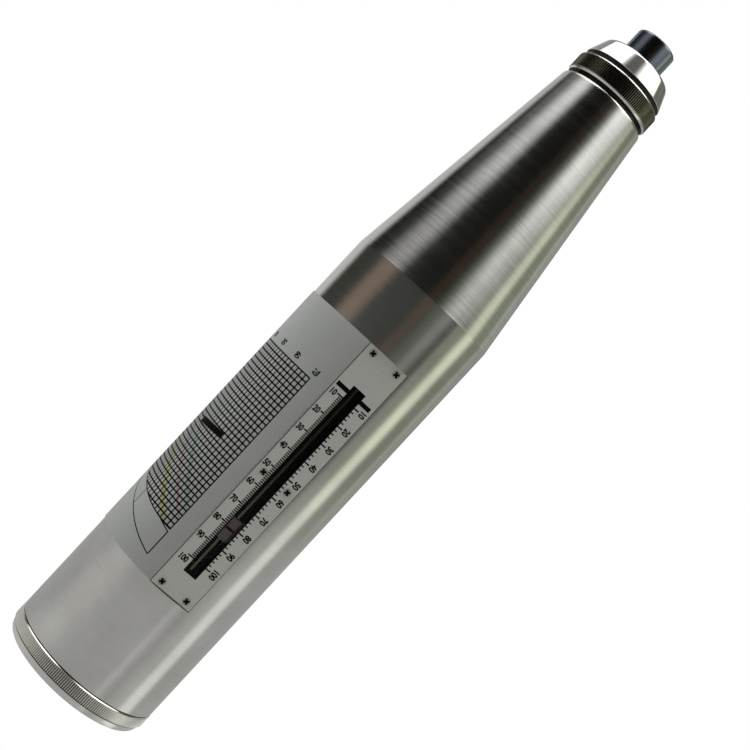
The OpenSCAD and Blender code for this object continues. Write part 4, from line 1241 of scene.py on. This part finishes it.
def lay_on_label(mesh, arc_mm, z):
    """Bends text round the label, its top towards the plate and its reading way to the rear."""
    for v in mesh.vertices:
        a, b, c = v.co
        turn = math.radians(LABEL_START) - (arc_mm - b) / LABEL_R
        r = LABEL_R + INK_LIFT + c
        v.co = Vector((r * math.cos(turn), r * math.sin(turn), z - a)) * MM
    return mesh


CHART_NUMBER_SIZE, CHART_NUMBER_Z = 2.9, 127.2
chart_numbers = []
for i, number in enumerate(range(70, 0, -10)):
    text = ink_text(str(number), CHART_NUMBER_SIZE, COARSE_NARROW)
    chart_numbers.append(lay_on_label(text, CHART_LOW_ARC + 5 * CELL_ARC * i, CHART_NUMBER_Z))
dress(join("chart_numbers", chart_numbers, ink), "body", "label_foil")

# %% [markdown]
# ## Inner pieces
# What lies inside shows only in the exploded model, but each solid still gets its own metal.

# %% Inner metals
INNER = {
    "trip_screw": dark_steel, "lock_nut": bright_steel, "split_ring": bright_steel, "guide_sleeve": bright_steel,
    "guide_bar": bright_steel, "guide_disk": bright_steel, "pawl": blued_steel, "pawl_pin": bright_steel,
    "hammer_mass": bright_steel, "button_clip": spring_steel,
}
for node, finish in INNER.items():
    repaint(node, finish)
print("inner solids:", len(INNER))

# %% [markdown]
# ## Springs
# Each spring is one wire along a helix whose end turns lie close. The helix is a formula, and the wire is swept along
# it by a tree.

# %% Wire along a path


def wire_tree():
    tree, inputs = new_tree(
        "Wire along a path", {"Geometry": "Geometry", "Radius": "Float", "Finish": "Material"}
    )
    ring = tree.add("GeometryNodeCurvePrimitiveCircle", None, {"Resolution": 12, "Radius": inputs["Radius"]})
    swept = tree.add(
        "GeometryNodeCurveToMesh",
        None,
        {"Curve": inputs["Geometry"], "Profile Curve": ring, "Fill Caps": True},
    )
    return finish_tree(tree, inputs, swept)


sweep_wire = wire_tree()
COIL_GAP, TURN_STEPS = 0.46, 40


def coil(name, radius, wire, turns, length, finish):
    """A closed-end spring that stands on z = 0, in mm."""
    pitch, free = wire + COIL_GAP, length - wire
    steep = (free - 2 * pitch) / (turns - 2)
    points = []
    for i in range(int(turns * TURN_STEPS) + 1):
        t = i / TURN_STEPS
        if t < 1:
            z = t * pitch
        elif t > turns - 1:
            z = free - (turns - t) * pitch
        else:
            z = pitch + (t - 1) * steep
        turn = 2 * math.pi * t
        points.append((radius * math.cos(turn), radius * math.sin(turn), wire / 2 + z))
    path = bpy.data.curves.new(name, "CURVE")
    path.dimensions = "3D"
    spline = path.splines.new("POLY")
    spline.points.add(len(points) - 1)
    for spot, p in zip(spline.points, points):
        spot.co = (*(Vector(p) * MM), 1)
    carrier = bpy.data.objects.new(name + "_path", path)
    bpy.context.scene.collection.objects.link(carrier)
    put_tree(carrier, sweep_wire, Radius=wire / 2 * MM, Finish=finish)
    mesh = evaluated(carrier)
    bpy.data.objects.remove(carrier)
    smooth_faces(mesh, 50)
    return place_mesh(name, mesh)


# %% Five springs


def spring(name, node, size, place, turn=None):
    """Winds a spring of (radius, wire, turns, length) and lays it in its place."""
    piece = coil(name, *size, spring_steel)
    piece.data.transform(Matrix.Translation(Vector(place) * MM) @ (turn or Matrix.Identity(4)))
    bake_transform(piece)
    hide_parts(node)
    print(name, len(piece.data.polygons), "faces")


spring("spring_compression", "compression_spring", (17.4, 1.6, 7, 24.5), (0, 0, 5.55))
spring("spring_impact", "impact_spring", (11.7, 2.0, 17, 161.5), (0, 0, 86.85))
spring("spring_retaining", "retaining_spring", (3.0, 0.9, 9, 22.9), (0, 0, 203.15))
spring("spring_pawl", "pawl_spring", (2.0, 0.5, 3.5, 4.4), (3.78, 0, 19.65))
outward = Matrix.Rotation(math.radians(-90), 4, "X")
spring("spring_button", "button_spring", (3.0, 0.5, 6, 8.18), (0, 26.67, BUTTON_Z), outward)
